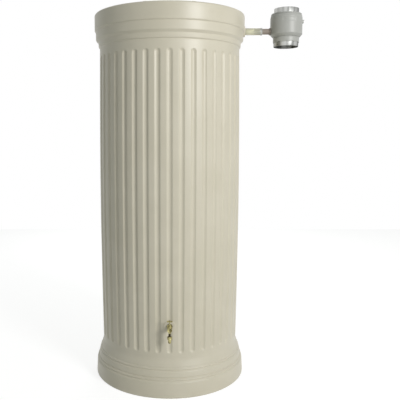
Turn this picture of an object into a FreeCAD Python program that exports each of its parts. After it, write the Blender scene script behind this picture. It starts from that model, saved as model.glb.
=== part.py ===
"""Fluted column rain barrel with a brass tap, a filler lid and a downpipe diverter.

Lengths are millimetres and angles degrees. The barrel stands on the XY plane and its
axis is +Z, the tap looks along -Y and the diverter stands off along +X.
"""
import FreeCAD
import Part
import Sketcher
import math
import os
import re

from FreeCAD import Placement, Rotation, Vector

SIZES = {
    # Barrel: each step is how far a moulding stands out from the neck of the shaft
    "barrel_height": 2100, "neck_radius": 403, "swell": 8, "wall": 8, "shaft_wall": 12,
    # Plinth drum, from the ground up
    "foot_step": 43, "foot_edge": 4, "foot_thickness": 8, "foot_width": 46,
    "plinth_step": 38, "plinth_height": 110, "plinth_round": 12,
    "groove_step": 24, "groove_rise": 1, "groove_width": 8,
    "bead_low_step": 27, "bead_high_step": 18.5, "bead_width": 54, "bead_round": 7,
    "flare_step": 7.5, "flare_undercut": 2, "flare_gap": 12, "flare_rise": 22.5,
    "plinth_collar": 8.5, "floor_thickness": 6, "floor_gap": 1.5,
    # Flutes
    "flute_radius": 20, "flute_depth": 7, "flute_foot_gap": 25, "flute_head_gap": 34,
    # Cornice drum, from the shaft up
    "cornice_collar": 9, "soffit_rise": 10, "fillet_step": 7.8, "fillet_width": 21,
    "slope_rise": 18, "frieze_step": 22, "frieze_width": 37, "cap_slope": 14,
    "cap_step": 30, "cap_width": 86, "cap_round": 26, "rim_width": 40,
    "deck_recess": 28, "deck_thickness": 6, "deck_gap": 0.5,
    "ledge_width": 16, "ledge_thickness": 8,
    "lug_width": 22, "lug_height": 5.5, "lug_depth": 11, "lug_inset": 2, "lug_angle": 18,
    # Filler neck and lid
    "filler_radius": 122, "filler_wall": 6, "filler_rise": 28, "filler_flange": 22,
    "filler_flange_thickness": 4, "lid_wall": 5, "lid_skirt": 20, "lid_gap": 0.8,
    "lid_top": 7, "lid_edge": 3, "grip_radius": 9, "grip_depth": 4,
    # Tap
    "tap_rise": 181, "tap_reach": 58, "pad_radius": 31, "pad_proud": 5, "pad_round": 4,
    "pad_back": 17, "shank_radius": 13, "shank_gap": 0.6, "shank_tail": 3,
    "washer_radius": 20, "washer_thickness": 3, "lock_nut_radius": 21,
    "lock_nut_length": 9, "tap_collar_radius": 19, "tap_collar_length": 9,
    "tap_neck_radius": 11, "belly_radius": 18, "belly_half": 15, "belly_shoulder": 3,
    "tap_top_radius": 12.5, "spout_radius": 10, "spout_drop": 46,
    "bonnet_radius": 13, "bonnet_length": 9, "gland_radius": 9.5, "gland_length": 8,
    "spindle_radius": 4, "spindle_gap": 0.08, "spindle_seat": 2, "spindle_length": 36,
    "hub_wall": 3, "hub_length": 11, "hub_chamfer": 2, "bar_radius": 4.2,
    "bar_length": 40, "bar_end_radius": 5.2, "bar_turn": 27,
    "union_wall": 4, "union_length": 16, "union_gap": 0.15, "union_floor": 3,
    "union_chamfer": 1.5, "tail_radius": 8.6, "tail_wall": 3.2, "tail_length": 28,
    "tail_relief": 0.3, "barb_depth": 1.1, "barb_slope": 4.9, "barb_pitch": 7,
    "flange_thickness": 3,
    # Inlet and hose
    "inlet_drop": 79, "inlet_pad_radius": 31, "inlet_pad_proud": 3,
    "hose_radius": 19.7, "hose_wall": 3, "hose_inside": 30, "hose_run": 101,
    "hose_fit": 0.1, "grommet_wall": 5, "grommet_flange": 4, "grommet_lip": 2.3,
    "clip_width": 9, "clip_thickness": 1.4, "clip_setback": 7, "clip_ear": 7,
    # Diverter
    "pipe_radius": 71, "pipe_wall": 2, "pipe_gap": 0.5, "pipe_lap": 26,
    "upper_stub": 29, "lower_stub": 22,
    "body_gap": 20.7, "body_inset": 3.7, "body_mouth_step": 7, "body_wall": 4,
    "body_drop": 33, "body_height": 124, "body_chamfer": 15, "shoulder_drop": 19,
    "lip_height": 7, "lip_inset": 1, "lip_round": 3,
    "sleeve_wall": 3, "sleeve_length": 32, "scallop_radius": 13, "scallop_depth": 4,
    "spigot_play": 0.3, "spigot_wall": 3.4, "spigot_inside": 46, "spigot_run": 40.3,
    "spigot_lead": 1.5, "spigot_nut_wall": 4.1, "spigot_nut_length": 7,
    "catch_drop": 18, "catch_length": 18, "catch_width": 44, "catch_proud": 7,
    "catch_sink": 16, "catch_gap": 0.2,
}

DERIVED = {
    # Radii of the drums
    "foot_radius": "neck_radius + foot_step",
    "foot_bore_radius": "foot_radius - foot_width",
    "plinth_radius": "neck_radius + plinth_step",
    "groove_radius": "neck_radius + groove_step",
    "bead_low_radius": "neck_radius + bead_low_step",
    "bead_high_radius": "neck_radius + bead_high_step",
    "flare_radius": "neck_radius + flare_step",
    "fillet_radius": "neck_radius + fillet_step",
    "frieze_radius": "neck_radius + frieze_step",
    "cap_radius": "neck_radius + cap_step",
    "rim_radius": "cap_radius - rim_width",
    "ledge_radius": "rim_radius - ledge_width",
    "shaft_inner": "neck_radius - shaft_wall",
    # Heights of the plinth, up to where the shaft starts
    "bead_base": "plinth_height + groove_width",
    "bead_height": "bead_base + bead_width",
    "flare_start": "bead_height + flare_gap",
    "flare_end": "flare_start + flare_rise",
    "drum_height": "flare_end + plinth_collar",
    # Heights of the cornice, down from the top
    "cap_bottom": "barrel_height - cap_width",
    "frieze_top": "cap_bottom - cap_slope",
    "slope_end": "frieze_top - frieze_width",
    "slope_start": "slope_end - slope_rise",
    "soffit_end": "slope_start - fillet_width",
    "soffit_start": "soffit_end - soffit_rise",
    "shaft_top": "soffit_start - cornice_collar",
    "deck_top": "barrel_height - deck_recess",
    "deck_base": "deck_top - deck_thickness",
    # Flutes between the two drums
    "flute_bottom": "drum_height + flute_foot_gap",
    "flute_top": "shaft_top - flute_head_gap",
    "flute_half_width": "sqrt(flute_radius ^ 2 - (flute_radius - flute_depth) ^ 2)",
    # Filler
    "filler_outer": "filler_radius + filler_wall",
    "lid_bore": "filler_outer + lid_gap",
    "lid_radius": "lid_bore + lid_wall + grip_depth",
    "lid_seat": "deck_top + filler_rise",
    # Tap
    "tap_height": "drum_height + tap_rise",
    "tap_wall": "neck_radius + swell * sin(180 * tap_rise / (shaft_top - drum_height))",
    "tap_face": "tap_wall + pad_proud",
    "tap_axis": "tap_wall + tap_reach",
    "pad_depth": "pad_back + pad_proud",
    "belly_top": "tap_height + belly_half",
    "hub_radius": "spindle_radius + hub_wall",
    "spout_bottom": "tap_height - spout_drop",
    "tail_tip": "spout_bottom - tail_length",
    "tail_seat": "spout_bottom - flange_thickness",
    "tail_bore": "tail_radius - tail_wall",
    "tail_root": "tail_radius - barb_depth",
    "union_base": "tail_seat - union_floor",
    "union_top": "union_base + union_length",
    "union_radius": "spout_radius + union_wall",
    # Inlet, hose and spigot
    "inlet_height": "barrel_height - inlet_drop",
    "inlet_face": "cap_radius + inlet_pad_proud",
    "hose_start": "inlet_face - hose_inside",
    "hose_end": "inlet_face + hose_run",
    "hose_bore": "hose_radius - hose_wall",
    "hose_seat": "hose_radius + hose_fit",
    "grommet_radius": "hose_radius + grommet_wall",
    "spigot_radius": "hose_bore - spigot_play",
    "spigot_bore": "spigot_radius - spigot_wall",
    "spigot_start": "hose_end - spigot_inside",
    "spigot_nut_start": "hose_end + spigot_run",
    # Diverter
    "body_radius": "pipe_radius + body_gap",
    "body_top_radius": "body_radius - body_inset",
    "body_mouth": "pipe_radius + body_mouth_step",
    "pipe_seat": "pipe_radius + pipe_gap",
    "pipe_bore": "pipe_radius - pipe_wall",
    "lip_radius": "body_top_radius - lip_inset",
    "sleeve_radius": "pipe_seat + sleeve_wall",
    "diverter_offset": "spigot_nut_start + spigot_nut_length + body_radius",
    "body_bottom": "inlet_height - body_drop",
    "body_chamfer_top": "body_bottom + body_chamfer",
    "body_top": "body_bottom + body_height",
    "body_shoulder": "body_top - shoulder_drop",
    "lip_top": "body_top + lip_height",
    "sleeve_bottom": "body_bottom - sleeve_length",
    "catch_height": "body_shoulder - catch_drop",
}

STAVES = ("right", "back_right", "back", "back_left", "left", "front_left", "front",
          "front_right")
QUARTERS = ("right", "back", "left", "front")
FLUTES_PER_STAVE = 5
SHAFT_STATIONS = 5
GRIPS = 18
SCALLOPS = 12
AXIS = Vector(0, 0, 1)
TO_FRONT = Rotation(Vector(1, 0, 0), 90)
TO_RIGHT = Rotation(Vector(0, 1, 0), 90)

doc = FreeCAD.newDocument("rain_barrel")
sheet = doc.addObject("Spreadsheet::Sheet", "dims")
pieces = []


def fill_sheet():
    """Write each driving size, and each formula of them, into a cell under its alias."""
    cells = {**SIZES, **{name: f"={formula}" for name, formula in DERIVED.items()}}
    for row, (name, content) in enumerate(cells.items(), start=1):
        sheet.set(f"A{row}", name)
        sheet.set(f"B{row}", str(content))
        sheet.setAlias(f"B{row}", name)
    doc.recompute()


def size(name):
    """Return a size from the sheet as a number."""
    return float(sheet.get(name))


def linked(formula):
    """Put the sheet's name before each size in a formula."""
    return re.sub(r"[a-z_]+", lambda word: f"dims.{word[0]}"
                  if word[0] in SIZES or word[0] in DERIVED else word[0], formula)


def value(formula):
    """Work out a formula of sizes."""
    return float(sheet.evalExpression(formula))


def bind(item, **formulas):
    """Tie properties of an object to formulas of sizes."""
    for name, formula in formulas.items():
        item.setExpression(name, linked(str(formula)))
    return item


def place(item, x="0", y="0", z="0", turn=None):
    """Turn an object and tie its position to formulas."""
    if turn is not None:
        item.Placement = Placement(Vector(), turn)
    for axis, formula in zip("xyz", (x, y, z)):
        if formula != "0":
            item.setExpression(f"Placement.Base.{axis}", linked(formula))
    return item


def keep(item, label):
    """Name an object as a finished piece."""
    item.Label = label
    pieces.append(item)
    return item


def origin_plane(body, role):
    """Return one of a body's own origin planes."""
    return next(plane for plane in body.Origin.OriginFeatures if plane.Role == role)


def arc_through(start, end, radius, side):
    """Return the arc of a radius between two points, bulging to the given side."""
    chord = end - start
    middle = (start + end) * 0.5
    rise = math.sqrt(max(radius ** 2 - (chord.Length / 2) ** 2, 0))
    normal = Vector(-chord.y, chord.x, 0).normalize() * side
    centre = middle - normal * rise
    crown = centre + normal * radius
    return Part.Arc(start, crown, end)


def draw(sketch, corners):
    """Draw a closed outline whose corners, and arc radii, are tied to formulas.

    A corner is (x, y), or (x, y, radius, side) where an arc leads from it to the next.
    """
    spots = [Vector(value(corner[0]), value(corner[1]), 0) for corner in corners]
    count = len(corners)
    for index, corner in enumerate(corners):
        start, end = spots[index], spots[(index + 1) % count]
        if len(corner) == 4:
            sketch.addGeometry(arc_through(start, end, value(corner[2]), corner[3]))
        else:
            sketch.addGeometry(Part.LineSegment(start, end))
    heads = [head_of(sketch, index, spots[index]) for index in range(count)]
    for index, corner in enumerate(corners):
        before = (index - 1) % count
        sketch.addConstraint(Sketcher.Constraint(
            "Coincident", before, 3 - heads[before], index, heads[index]))
        for kind, formula, spot in (("DistanceX", corner[0], spots[index].x),
                                    ("DistanceY", corner[1], spots[index].y)):
            tie(sketch, Sketcher.Constraint(kind, -1, 1, index, heads[index], spot), formula)
        if len(corner) == 4:
            tie(sketch, Sketcher.Constraint("Radius", index, value(corner[2])), corner[2])


def head_of(sketch, index, spot):
    """Return which end of a sketch edge, 1 or 2, lies at its own corner."""
    return 1 if sketch.getPoint(index, 1).distanceToPoint(spot) < 1e-6 else 2


def tie(sketch, constraint, formula):
    """Add a constraint and bind it to a formula."""
    number = sketch.addConstraint(constraint)
    sketch.setExpression(f"Constraints[{number}]", linked(formula))


def turned(name, corners, angle=None):
    """Turn an outline of (radius, height) corners about Z."""
    body = doc.addObject("PartDesign::Body", name)
    sketch = body.newObject("Sketcher::SketchObject", f"{name}_outline")
    sketch.AttachmentSupport = (origin_plane(body, "XZ_Plane"), [""])
    sketch.MapMode = "FlatFace"
    draw(sketch, corners)
    turn = body.newObject("PartDesign::Revolution", f"{name}_turn")
    turn.Profile = sketch
    turn.ReferenceAxis = (sketch, ["V_Axis"])
    if angle is not None:
        turn.Midplane = True
        turn.Angle = angle
    return body


def cylinder(name, radius, length):
    """Make a cylinder along Z."""
    return bind(doc.addObject("Part::Cylinder", name), Radius=radius, Height=length)


def box(name, length, width, height):
    """Make a box from the origin."""
    return bind(doc.addObject("Part::Box", name), Length=length, Width=width, Height=height)


def hexagon(name, radius, length):
    """Make a six-sided prism along Z with its corners on a radius."""
    prism = doc.addObject("Part::Prism", name)
    prism.Polygon = 6
    return bind(prism, Circumradius=radius, Height=length)


def fused(name, *items):
    """Join overlapping solids."""
    union = doc.addObject("Part::MultiFuse", name)
    union.Shapes = list(items)
    union.Refine = True
    return union


def cut(name, base, tool):
    """Take one solid out of another."""
    result = doc.addObject("Part::Cut", name)
    result.Base = base
    result.Tool = tool
    result.Refine = True
    return result


def solid(name, shape):
    """Hold a shape worked out by Part's own functions."""
    feature = doc.addObject("Part::Feature", name)
    feature.Shape = shape
    return feature


def spun(shape, angle):
    """Return a copy of a shape turned about the barrel's axis."""
    return shape.rotated(Vector(), AXIS, angle)


def copies(master, stem, names):
    """Place equal copies of a drum segment round the barrel as named pieces."""
    doc.recompute()
    for index, name in enumerate(names):
        segment = solid(f"{stem}_{name}_copy", master.Shape.copy())
        segment.Placement = Placement(Vector(), Rotation(AXIS, index * 360 / len(names)))
        yield name, segment


def shaft_radius(height):
    """Return the radius of the swelling shaft at a height."""
    share = (height - size("drum_height")) / (size("shaft_top") - size("drum_height"))
    return size("neck_radius") + size("swell") * math.sin(math.pi * share)


def shaft_point(radius, angle, height):
    """Return a point by radius, angle in degrees and height."""
    turn = math.radians(angle)
    return Vector(radius * math.cos(turn), radius * math.sin(turn), height)


def flute_half_angle(radius):
    """Return half the angle that a flute takes up on a shaft of a radius."""
    groove = size("flute_radius")
    centre = radius + groove - size("flute_depth")
    cosine = (radius ** 2 + centre ** 2 - groove ** 2) / (2 * radius * centre)
    return math.degrees(math.acos(cosine))


def fluted_edge(radius, height, half_angle):
    """Return the edges of one stave's fluted outer face at a height."""
    pitch = 2 * half_angle / FLUTES_PER_STAVE
    lip = flute_half_angle(radius)
    floor_radius = radius - size("flute_depth")
    edges = []
    for index in range(FLUTES_PER_STAVE):
        middle = (index + 0.5) * pitch - half_angle
        marks = [(middle - pitch / 2, radius), (middle - (pitch / 2 + lip) / 2, radius),
                 (middle - lip, radius), (middle, floor_radius), (middle + lip, radius),
                 (middle + (pitch / 2 + lip) / 2, radius), (middle + pitch / 2, radius)]
        points = [shaft_point(reach, angle, height) for angle, reach in marks]
        edges += [Part.Arc(*points[start:start + 3]).toShape() for start in (0, 2, 4)]
    return edges


def stave_section(height, half_angle):
    """Return the closed outline of a stave at a height."""
    radius = shaft_radius(height)
    inner = radius - size("shaft_wall")
    low, high = -half_angle, half_angle
    inside = Part.Arc(shaft_point(inner, high, height), shaft_point(inner, 0, height),
                      shaft_point(inner, low, height)).toShape()
    sides = [Part.makeLine(shaft_point(inner, low, height), shaft_point(radius, low, height)),
             Part.makeLine(shaft_point(radius, high, height), shaft_point(inner, high, height))]
    edges = [sides[0], *fluted_edge(radius, height, half_angle), sides[1], inside]
    return Part.Wire(edges)


def plain_end(low, high, flute_end, half_angle):
    """Return the unfluted end of a stave, with the rounded ends of its flutes."""
    corners = [Vector(reach, 0, height) for height, inset in ((low, 0), (high, 0))
               for reach in (shaft_radius(height) - size("shaft_wall"), shaft_radius(height))]
    outline = Part.makePolygon([corners[0], corners[1], corners[3], corners[2], corners[0]])
    end = spun(Part.Face(outline).revolve(Vector(), AXIS, 2 * half_angle), -half_angle)
    centre = shaft_radius(flute_end) + size("flute_radius") - size("flute_depth")
    pitch = 2 * half_angle / FLUTES_PER_STAVE
    balls = [Part.makeSphere(size("flute_radius"), shaft_point(
        centre, (index + 0.5) * pitch - half_angle, flute_end))
        for index in range(FLUTES_PER_STAVE)]
    return end.cut(balls)


def stave_shape():
    """Return one stave of the shaft, from the plinth drum to the cornice drum."""
    half_angle = 180 / len(STAVES)
    low = size("flute_bottom") + size("flute_half_width")
    high = size("flute_top") - size("flute_half_width")
    step = (high - low) / (SHAFT_STATIONS - 1)
    sections = [stave_section(low + index * step, half_angle)
                for index in range(SHAFT_STATIONS)]
    fluted = Part.makeLoft(sections, True, True)
    foot = plain_end(size("drum_height"), low, low, half_angle)
    head = plain_end(high, size("shaft_top"), high, half_angle)
    return fluted.fuse([foot, head])


def make_plinth():
    """Make the plinth drum in quarters and the stepped floor plate in its foot."""
    quarter = turned("plinth_quarter", [
        ("foot_bore_radius", "0"),
        ("foot_radius - foot_edge", "0"),
        ("foot_radius", "foot_edge"),
        ("plinth_radius", "plinth_height - plinth_round", "plinth_round", -1),
        ("plinth_radius - plinth_round", "plinth_height"),
        ("groove_radius", "plinth_height + groove_rise"),
        ("bead_low_radius", "bead_base"),
        ("bead_high_radius", "bead_height - bead_round", "bead_round", -1),
        ("bead_high_radius - bead_round", "bead_height"),
        ("flare_radius - flare_undercut", "bead_height + groove_width / 2"),
        ("flare_radius", "flare_start"),
        ("neck_radius", "flare_end"),
        ("neck_radius", "drum_height"),
        ("shaft_inner", "drum_height"),
        ("shaft_inner", "flare_start"),
        ("bead_high_radius - shaft_wall", "bead_height - 2 * shaft_wall"),
        ("bead_low_radius - shaft_wall", "bead_base"),
        ("plinth_radius - wall", "plinth_height - 3 * wall"),
        ("foot_radius - wall", "foot_thickness"),
        ("foot_bore_radius", "foot_thickness"),
    ], 360 / len(QUARTERS))
    for name, segment in copies(quarter, "plinth", QUARTERS):
        keep(segment, f"plinth_{name}")
    floor_top = "foot_thickness + floor_thickness"
    plate = turned("floor_plate", [
        ("0", "0"),
        ("foot_bore_radius - floor_gap", "0"),
        ("foot_bore_radius - floor_gap", "foot_thickness"),
        ("foot_radius - wall - floor_gap", "foot_thickness"),
        ("foot_radius - wall - floor_gap", floor_top),
        ("0", floor_top),
    ])
    keep(plate, "base_floor")


def make_shaft():
    """Make the staves, with the flat pad and the hole for the tap in the front one."""
    stave = solid("stave", stave_shape())
    for name, segment in copies(stave, "stave", STAVES):
        if name == "front":
            segment = drilled_front(segment)
        keep(segment, f"stave_{name}")


def drilled_front(segment):
    """Add the tap's pad to the front stave and drill it."""
    pad = turned("tap_pad", [
        ("0", "0"),
        ("pad_radius", "0"),
        ("pad_radius", "pad_depth - pad_round", "pad_round", -1),
        ("pad_radius - pad_round", "pad_depth"),
        ("0", "pad_depth"),
    ])
    padded = fused("padded_stave", segment, along_tap(pad, "-pad_depth"))
    hole = cylinder("tap_hole", "shank_radius + shank_gap", "3 * pad_depth")
    return cut("front_stave", padded, along_tap(hole, "-2 * pad_depth"))


def along_tap(item, start="0"):
    """Lay a piece along the tap's inlet, from a distance in front of the pad."""
    return place(item, y=f"-(tap_face + {start})", z="tap_height", turn=TO_FRONT)


def on_spindle(item, height="0"):
    """Centre a piece on the spindle's axis at a height."""
    return place(item, y="-tap_axis", z=height)


def make_cornice():
    """Make the cornice drum in quarters, with the hose's pad and hole in the right one."""
    quarter = turned("cornice_quarter", [
        ("shaft_inner", "shaft_top"),
        ("neck_radius", "shaft_top"),
        ("neck_radius", "soffit_start"),
        ("fillet_radius", "soffit_end"),
        ("fillet_radius", "slope_start"),
        ("frieze_radius", "slope_end"),
        ("frieze_radius", "frieze_top"),
        ("cap_radius", "cap_bottom"),
        ("cap_radius", "barrel_height - cap_round", "cap_round", -1),
        ("cap_radius - cap_round", "barrel_height"),
        ("rim_radius", "barrel_height"),
        ("rim_radius", "deck_base"),
        ("ledge_radius", "deck_base"),
        ("ledge_radius", "deck_base - ledge_thickness"),
        ("cap_radius - wall", "cap_bottom + 2 * wall"),
        ("cap_radius - wall", "cap_bottom + wall"),
        ("frieze_radius - wall", "frieze_top + wall / 2"),
        ("frieze_radius - wall", "slope_end + wall / 2"),
        ("fillet_radius - wall", "slope_start + wall / 2"),
        ("fillet_radius - wall", "soffit_end + wall / 2"),
        ("shaft_inner", "soffit_start"),
    ], 360 / len(QUARTERS))
    for name, segment in copies(quarter, "cornice", QUARTERS):
        if name == "right":
            segment = drilled_right(segment)
        keep(segment, f"cornice_{name}")


def drilled_right(segment):
    """Add the hose's round pad to the right quarter of the cornice and drill it."""
    pad = cylinder("inlet_pad", "inlet_pad_radius", "2 * wall + inlet_pad_proud")
    padded = fused("padded_cornice", segment, along_hose(pad, "cap_radius - 2 * wall"))
    hole = cylinder("inlet_hole", "grommet_radius", "inlet_face - ledge_radius + wall")
    return cut("right_cornice", padded, along_hose(hole, "ledge_radius"))


def make_top():
    """Make the deck, the filler neck, its screw lid and the lugs on the rim."""
    deck = turned("deck_plate", [
        ("lid_bore", "deck_base"),
        ("rim_radius - deck_gap", "deck_base"),
        ("rim_radius - deck_gap", "deck_top"),
        ("lid_bore", "deck_top"),
    ])
    keep(deck, "top_deck")
    neck = turned("filler_neck", [
        ("filler_radius", "deck_base"),
        ("filler_outer", "deck_base"),
        ("filler_outer", "deck_top"),
        ("filler_outer + filler_flange", "deck_top"),
        ("filler_outer + filler_flange", "deck_top + filler_flange_thickness"),
        ("filler_outer", "deck_top + filler_flange_thickness"),
        ("filler_outer", "lid_seat"),
        ("filler_radius", "lid_seat"),
    ])
    keep(neck, "filler_collar")
    keep(screw_lid(), "filler_lid")
    keep(rim_lugs(), "rim_lugs")


def screw_lid():
    """Make the screw lid with finger grips round its edge."""
    cap = turned("lid_blank", [
        ("0", "lid_seat"),
        ("lid_bore", "lid_seat"),
        ("lid_bore", "lid_seat - lid_skirt"),
        ("lid_radius", "lid_seat - lid_skirt"),
        ("lid_radius", "lid_seat + lid_top - lid_edge"),
        ("lid_radius - lid_edge", "lid_seat + lid_top"),
        ("0", "lid_seat + lid_top"),
    ])
    reach = size("lid_radius") + size("grip_radius") - size("grip_depth")
    base = size("lid_seat") - 2 * size("lid_skirt")
    length = 3 * size("lid_skirt") + size("lid_top")
    grips = [Part.makeCylinder(size("grip_radius"), length,
                               shaft_point(reach, index * 360 / GRIPS, base))
             for index in range(GRIPS)]
    return cut("lid_gripped", cap, solid("lid_grips", Part.makeCompound(grips)))


def rim_lugs():
    """Return the small lugs on the rim, two in front and two behind."""
    reach = size("rim_radius") + size("lug_inset")
    lug = Part.makeBox(size("lug_depth"), size("lug_width"), size("lug_height"),
                       Vector(reach, -size("lug_width") / 2, size("barrel_height")))
    angles = [side + step * size("lug_angle") for side in (90, 270) for step in (-1, 1)]
    return solid("lugs", Part.makeCompound([spun(lug, angle) for angle in angles]))


def make_tap():
    """Make the tap from the nut inside the wall to the tail under the spout."""
    washer = cut("washer", cylinder("washer_disc", "washer_radius", "washer_thickness"),
                 cylinder("washer_hole", "shank_radius + shank_gap", "washer_thickness"))
    keep(along_tap(washer), "tap_washer")
    nut = cut("nut", hexagon("nut_blank", "lock_nut_radius", "lock_nut_length"),
              cylinder("nut_hole", "shank_radius + spindle_gap", "lock_nut_length"))
    keep(along_tap(nut, "-pad_depth - lock_nut_length"), "tap_lock_nut")
    keep(tap_body(), "tap_body")
    make_tap_head()
    make_tap_outlet()


def tap_body():
    """Make the brass body: shank, collar, neck, belly and spout."""
    behind = "pad_depth + lock_nut_length + shank_tail"
    before = "washer_thickness + tap_collar_length / 2"
    shank = cylinder("shank", "shank_radius", f"{behind} + {before}")
    collar = hexagon("tap_collar", "tap_collar_radius", "tap_collar_length")
    neck = cylinder("tap_neck", "tap_neck_radius", "tap_axis - tap_face - washer_thickness")
    belly = turned("tap_belly", [
        ("0", "-spout_drop"),
        ("spout_radius", "-spout_drop"),
        ("spout_radius", "-belly_half - belly_shoulder"),
        ("belly_radius", "-belly_half / 2", "belly_radius", -1),
        ("belly_radius", "belly_half / 2"),
        ("tap_top_radius", "belly_half"),
        ("0", "belly_half"),
    ])
    return fused("tap_casting", along_tap(shank, f"-({behind})"),
                 along_tap(collar, "washer_thickness"), along_tap(neck, "washer_thickness"),
                 on_spindle(belly, "tap_height"))


def make_tap_head():
    """Make the bonnet, the gland nut, the spindle and the T-handle."""
    bore = "spindle_radius + spindle_gap"
    bonnet = cut("bonnet", hexagon("bonnet_blank", "bonnet_radius", "bonnet_length"),
                 place(cylinder("bonnet_bore", bore, "bonnet_length"), z="spindle_seat"))
    keep(on_spindle(bonnet, "belly_top"), "tap_bonnet")
    gland = cut("gland", hexagon("gland_blank", "gland_radius", "gland_length"),
                cylinder("gland_bore", bore, "gland_length"))
    keep(on_spindle(gland, "belly_top + bonnet_length"), "tap_gland_nut")
    spindle = cylinder("spindle_rod", "spindle_radius", "spindle_length - spindle_seat")
    keep(on_spindle(spindle, "belly_top + spindle_seat + spindle_gap"), "tap_spindle")
    keep(tap_handle(), "tap_handle")


def tap_handle():
    """Make the hub and the cross bar with its rounded ends."""
    hub = turned("hub", [
        ("spindle_radius", "0"),
        ("hub_radius", "0"),
        ("hub_radius", "hub_length - hub_chamfer"),
        ("hub_radius - hub_chamfer", "hub_length"),
        ("spindle_radius", "hub_length"),
    ])
    half_bar = "bar_length / 2 - bar_end_radius"
    ends = [place(bind(doc.addObject("Part::Sphere", f"bar_end_{side}"),
                       Radius="bar_end_radius"), x=f"{sign}({half_bar})",
                  z="hub_length / 2") for side, sign in (("right", ""), ("left", "-"))]
    bar = cylinder("bar", "bar_radius", "bar_length - 2 * bar_end_radius")
    place(bar, x=f"-({half_bar})", z="hub_length / 2", turn=TO_RIGHT)
    bored = cut("handle_bored", fused("handle_bar", bar, *ends),
                cylinder("handle_bore", "spindle_radius", "hub_length"))
    handle = fused("handle", hub, bored)
    handle.Placement.Rotation = Rotation(AXIS, 90 - size("bar_turn"))
    return on_spindle(handle, "belly_top + spindle_length - hub_length")


def make_tap_outlet():
    """Make the union nut and the barbed hose tail under the spout."""
    union = turned("union", [
        ("tail_radius + union_gap", "union_base"),
        ("union_radius - union_chamfer", "union_base"),
        ("union_radius", "union_base + union_chamfer"),
        ("union_radius", "union_top - union_chamfer"),
        ("union_radius - union_chamfer", "union_top"),
        ("spout_radius + union_gap", "union_top"),
        ("spout_radius + union_gap", "tail_seat"),
        ("tail_radius + union_gap", "tail_seat"),
    ])
    keep(on_spindle(union), "tap_union_nut")
    neck = "union_base - flange_thickness * union_gap"
    tail = turned("tail", [
        ("tail_bore", "tail_tip"),
        ("tail_root - barb_depth", "tail_tip"),
        ("tail_radius", "tail_tip + barb_slope"),
        ("tail_root", "tail_tip + barb_slope"),
        ("tail_root", "tail_tip + barb_pitch"),
        ("tail_radius", "tail_tip + barb_pitch + barb_slope"),
        ("tail_root", "tail_tip + barb_pitch + barb_slope"),
        ("tail_root", "tail_tip + 2 * barb_pitch"),
        ("tail_radius", "tail_tip + 2 * barb_pitch"),
        ("tail_radius", neck),
        ("tail_radius - tail_relief", neck),
        ("tail_radius - tail_relief", "tail_seat"),
        ("spout_radius", "tail_seat"),
        ("spout_radius", "spout_bottom"),
        ("tail_bore", "spout_bottom"),
    ])
    keep(on_spindle(tail), "tap_hose_tail")


def along_hose(item, start):
    """Lay a piece along the hose's axis from a distance along X."""
    return place(item, x=start, z="inlet_height", turn=TO_RIGHT)


def ring(name, inner, outer, length):
    """Make a plain ring along Z."""
    return turned(name, [(inner, "0"), (outer, "0"), (outer, length), (inner, length)])


def make_hose():
    """Make the grommet in the cornice, the hose and its clip."""
    lip_start = "2 * wall + inlet_pad_proud"
    grommet = turned("grommet", [
        ("hose_seat", "0"),
        ("grommet_radius", "0"),
        ("grommet_radius", lip_start),
        ("grommet_radius + grommet_lip", lip_start),
        ("grommet_radius + grommet_lip", f"{lip_start} + grommet_flange"),
        ("hose_seat", f"{lip_start} + grommet_flange"),
    ])
    keep(along_hose(grommet, "cap_radius - 2 * wall"), "inlet_grommet")
    hose = ring("hose", "hose_bore", "hose_radius", "hose_end - hose_start")
    keep(along_hose(hose, "hose_start"), "connecting_hose")
    keep(hose_clip(), "hose_clip")


def hose_clip():
    """Make the clip: a band round the hose with a screw housing on top."""
    start = "hose_end - clip_setback - clip_width / 2"
    band = ring("clip_band", "hose_seat", "hose_seat + clip_thickness", "clip_width")
    ear = box("clip_housing", "clip_width", "2 * clip_ear", "clip_ear")
    place(ear, x=start, y="-clip_ear", z="inlet_height + hose_seat + clip_thickness / 2")
    return fused("clip", along_hose(band, start), ear)


def at_pipe(item, height="0"):
    """Centre a piece on the downpipe's axis at a height."""
    return place(item, x="diverter_offset", z=height)


def make_diverter():
    """Make the diverter on its two short stubs of downpipe."""
    upper = ring("upper_pipe", "pipe_bore", "pipe_radius", "upper_stub + pipe_lap")
    keep(at_pipe(upper, "lip_top - pipe_lap"), "upper_pipe_stub")
    lower = ring("lower_pipe", "pipe_bore", "pipe_radius", "lower_stub + sleeve_length")
    keep(at_pipe(lower, "sleeve_bottom - lower_stub"), "lower_pipe_stub")
    keep(diverter_body(), "diverter_body")
    lip = turned("lip", [
        ("pipe_seat", "body_top"),
        ("lip_radius", "body_top"),
        ("lip_radius", "lip_top - lip_round"),
        ("lip_radius - lip_round", "lip_top"),
        ("pipe_seat", "lip_top"),
    ])
    keep(at_pipe(lip), "diverter_lip")
    keep(diverter_sleeve(), "diverter_sleeve")
    keep(diverter_catch(), "diverter_catch")
    make_spigot()


def diverter_body():
    """Make the hollow housing with its hole for the spigot."""
    shell = turned("housing", [
        ("pipe_seat", "body_bottom"),
        ("body_mouth", "body_bottom"),
        ("body_radius", "body_chamfer_top"),
        ("body_radius", "body_shoulder"),
        ("body_top_radius", "body_top"),
        ("pipe_seat", "body_top"),
        ("pipe_seat", "body_top - body_wall"),
        ("body_top_radius - body_wall", "body_top - body_wall"),
        ("body_radius - body_wall", "body_shoulder"),
        ("body_radius - body_wall", "body_chamfer_top + body_wall / 2"),
        ("body_mouth - body_wall / 2", "body_bottom + body_wall"),
        ("pipe_seat", "body_bottom + body_wall"),
    ])
    hole = cylinder("spigot_hole", "spigot_radius + spigot_play", "4 * body_wall")
    return cut("drilled_housing", at_pipe(shell),
               along_hose(hole, "spigot_nut_start + spigot_nut_length - body_wall"))


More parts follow.
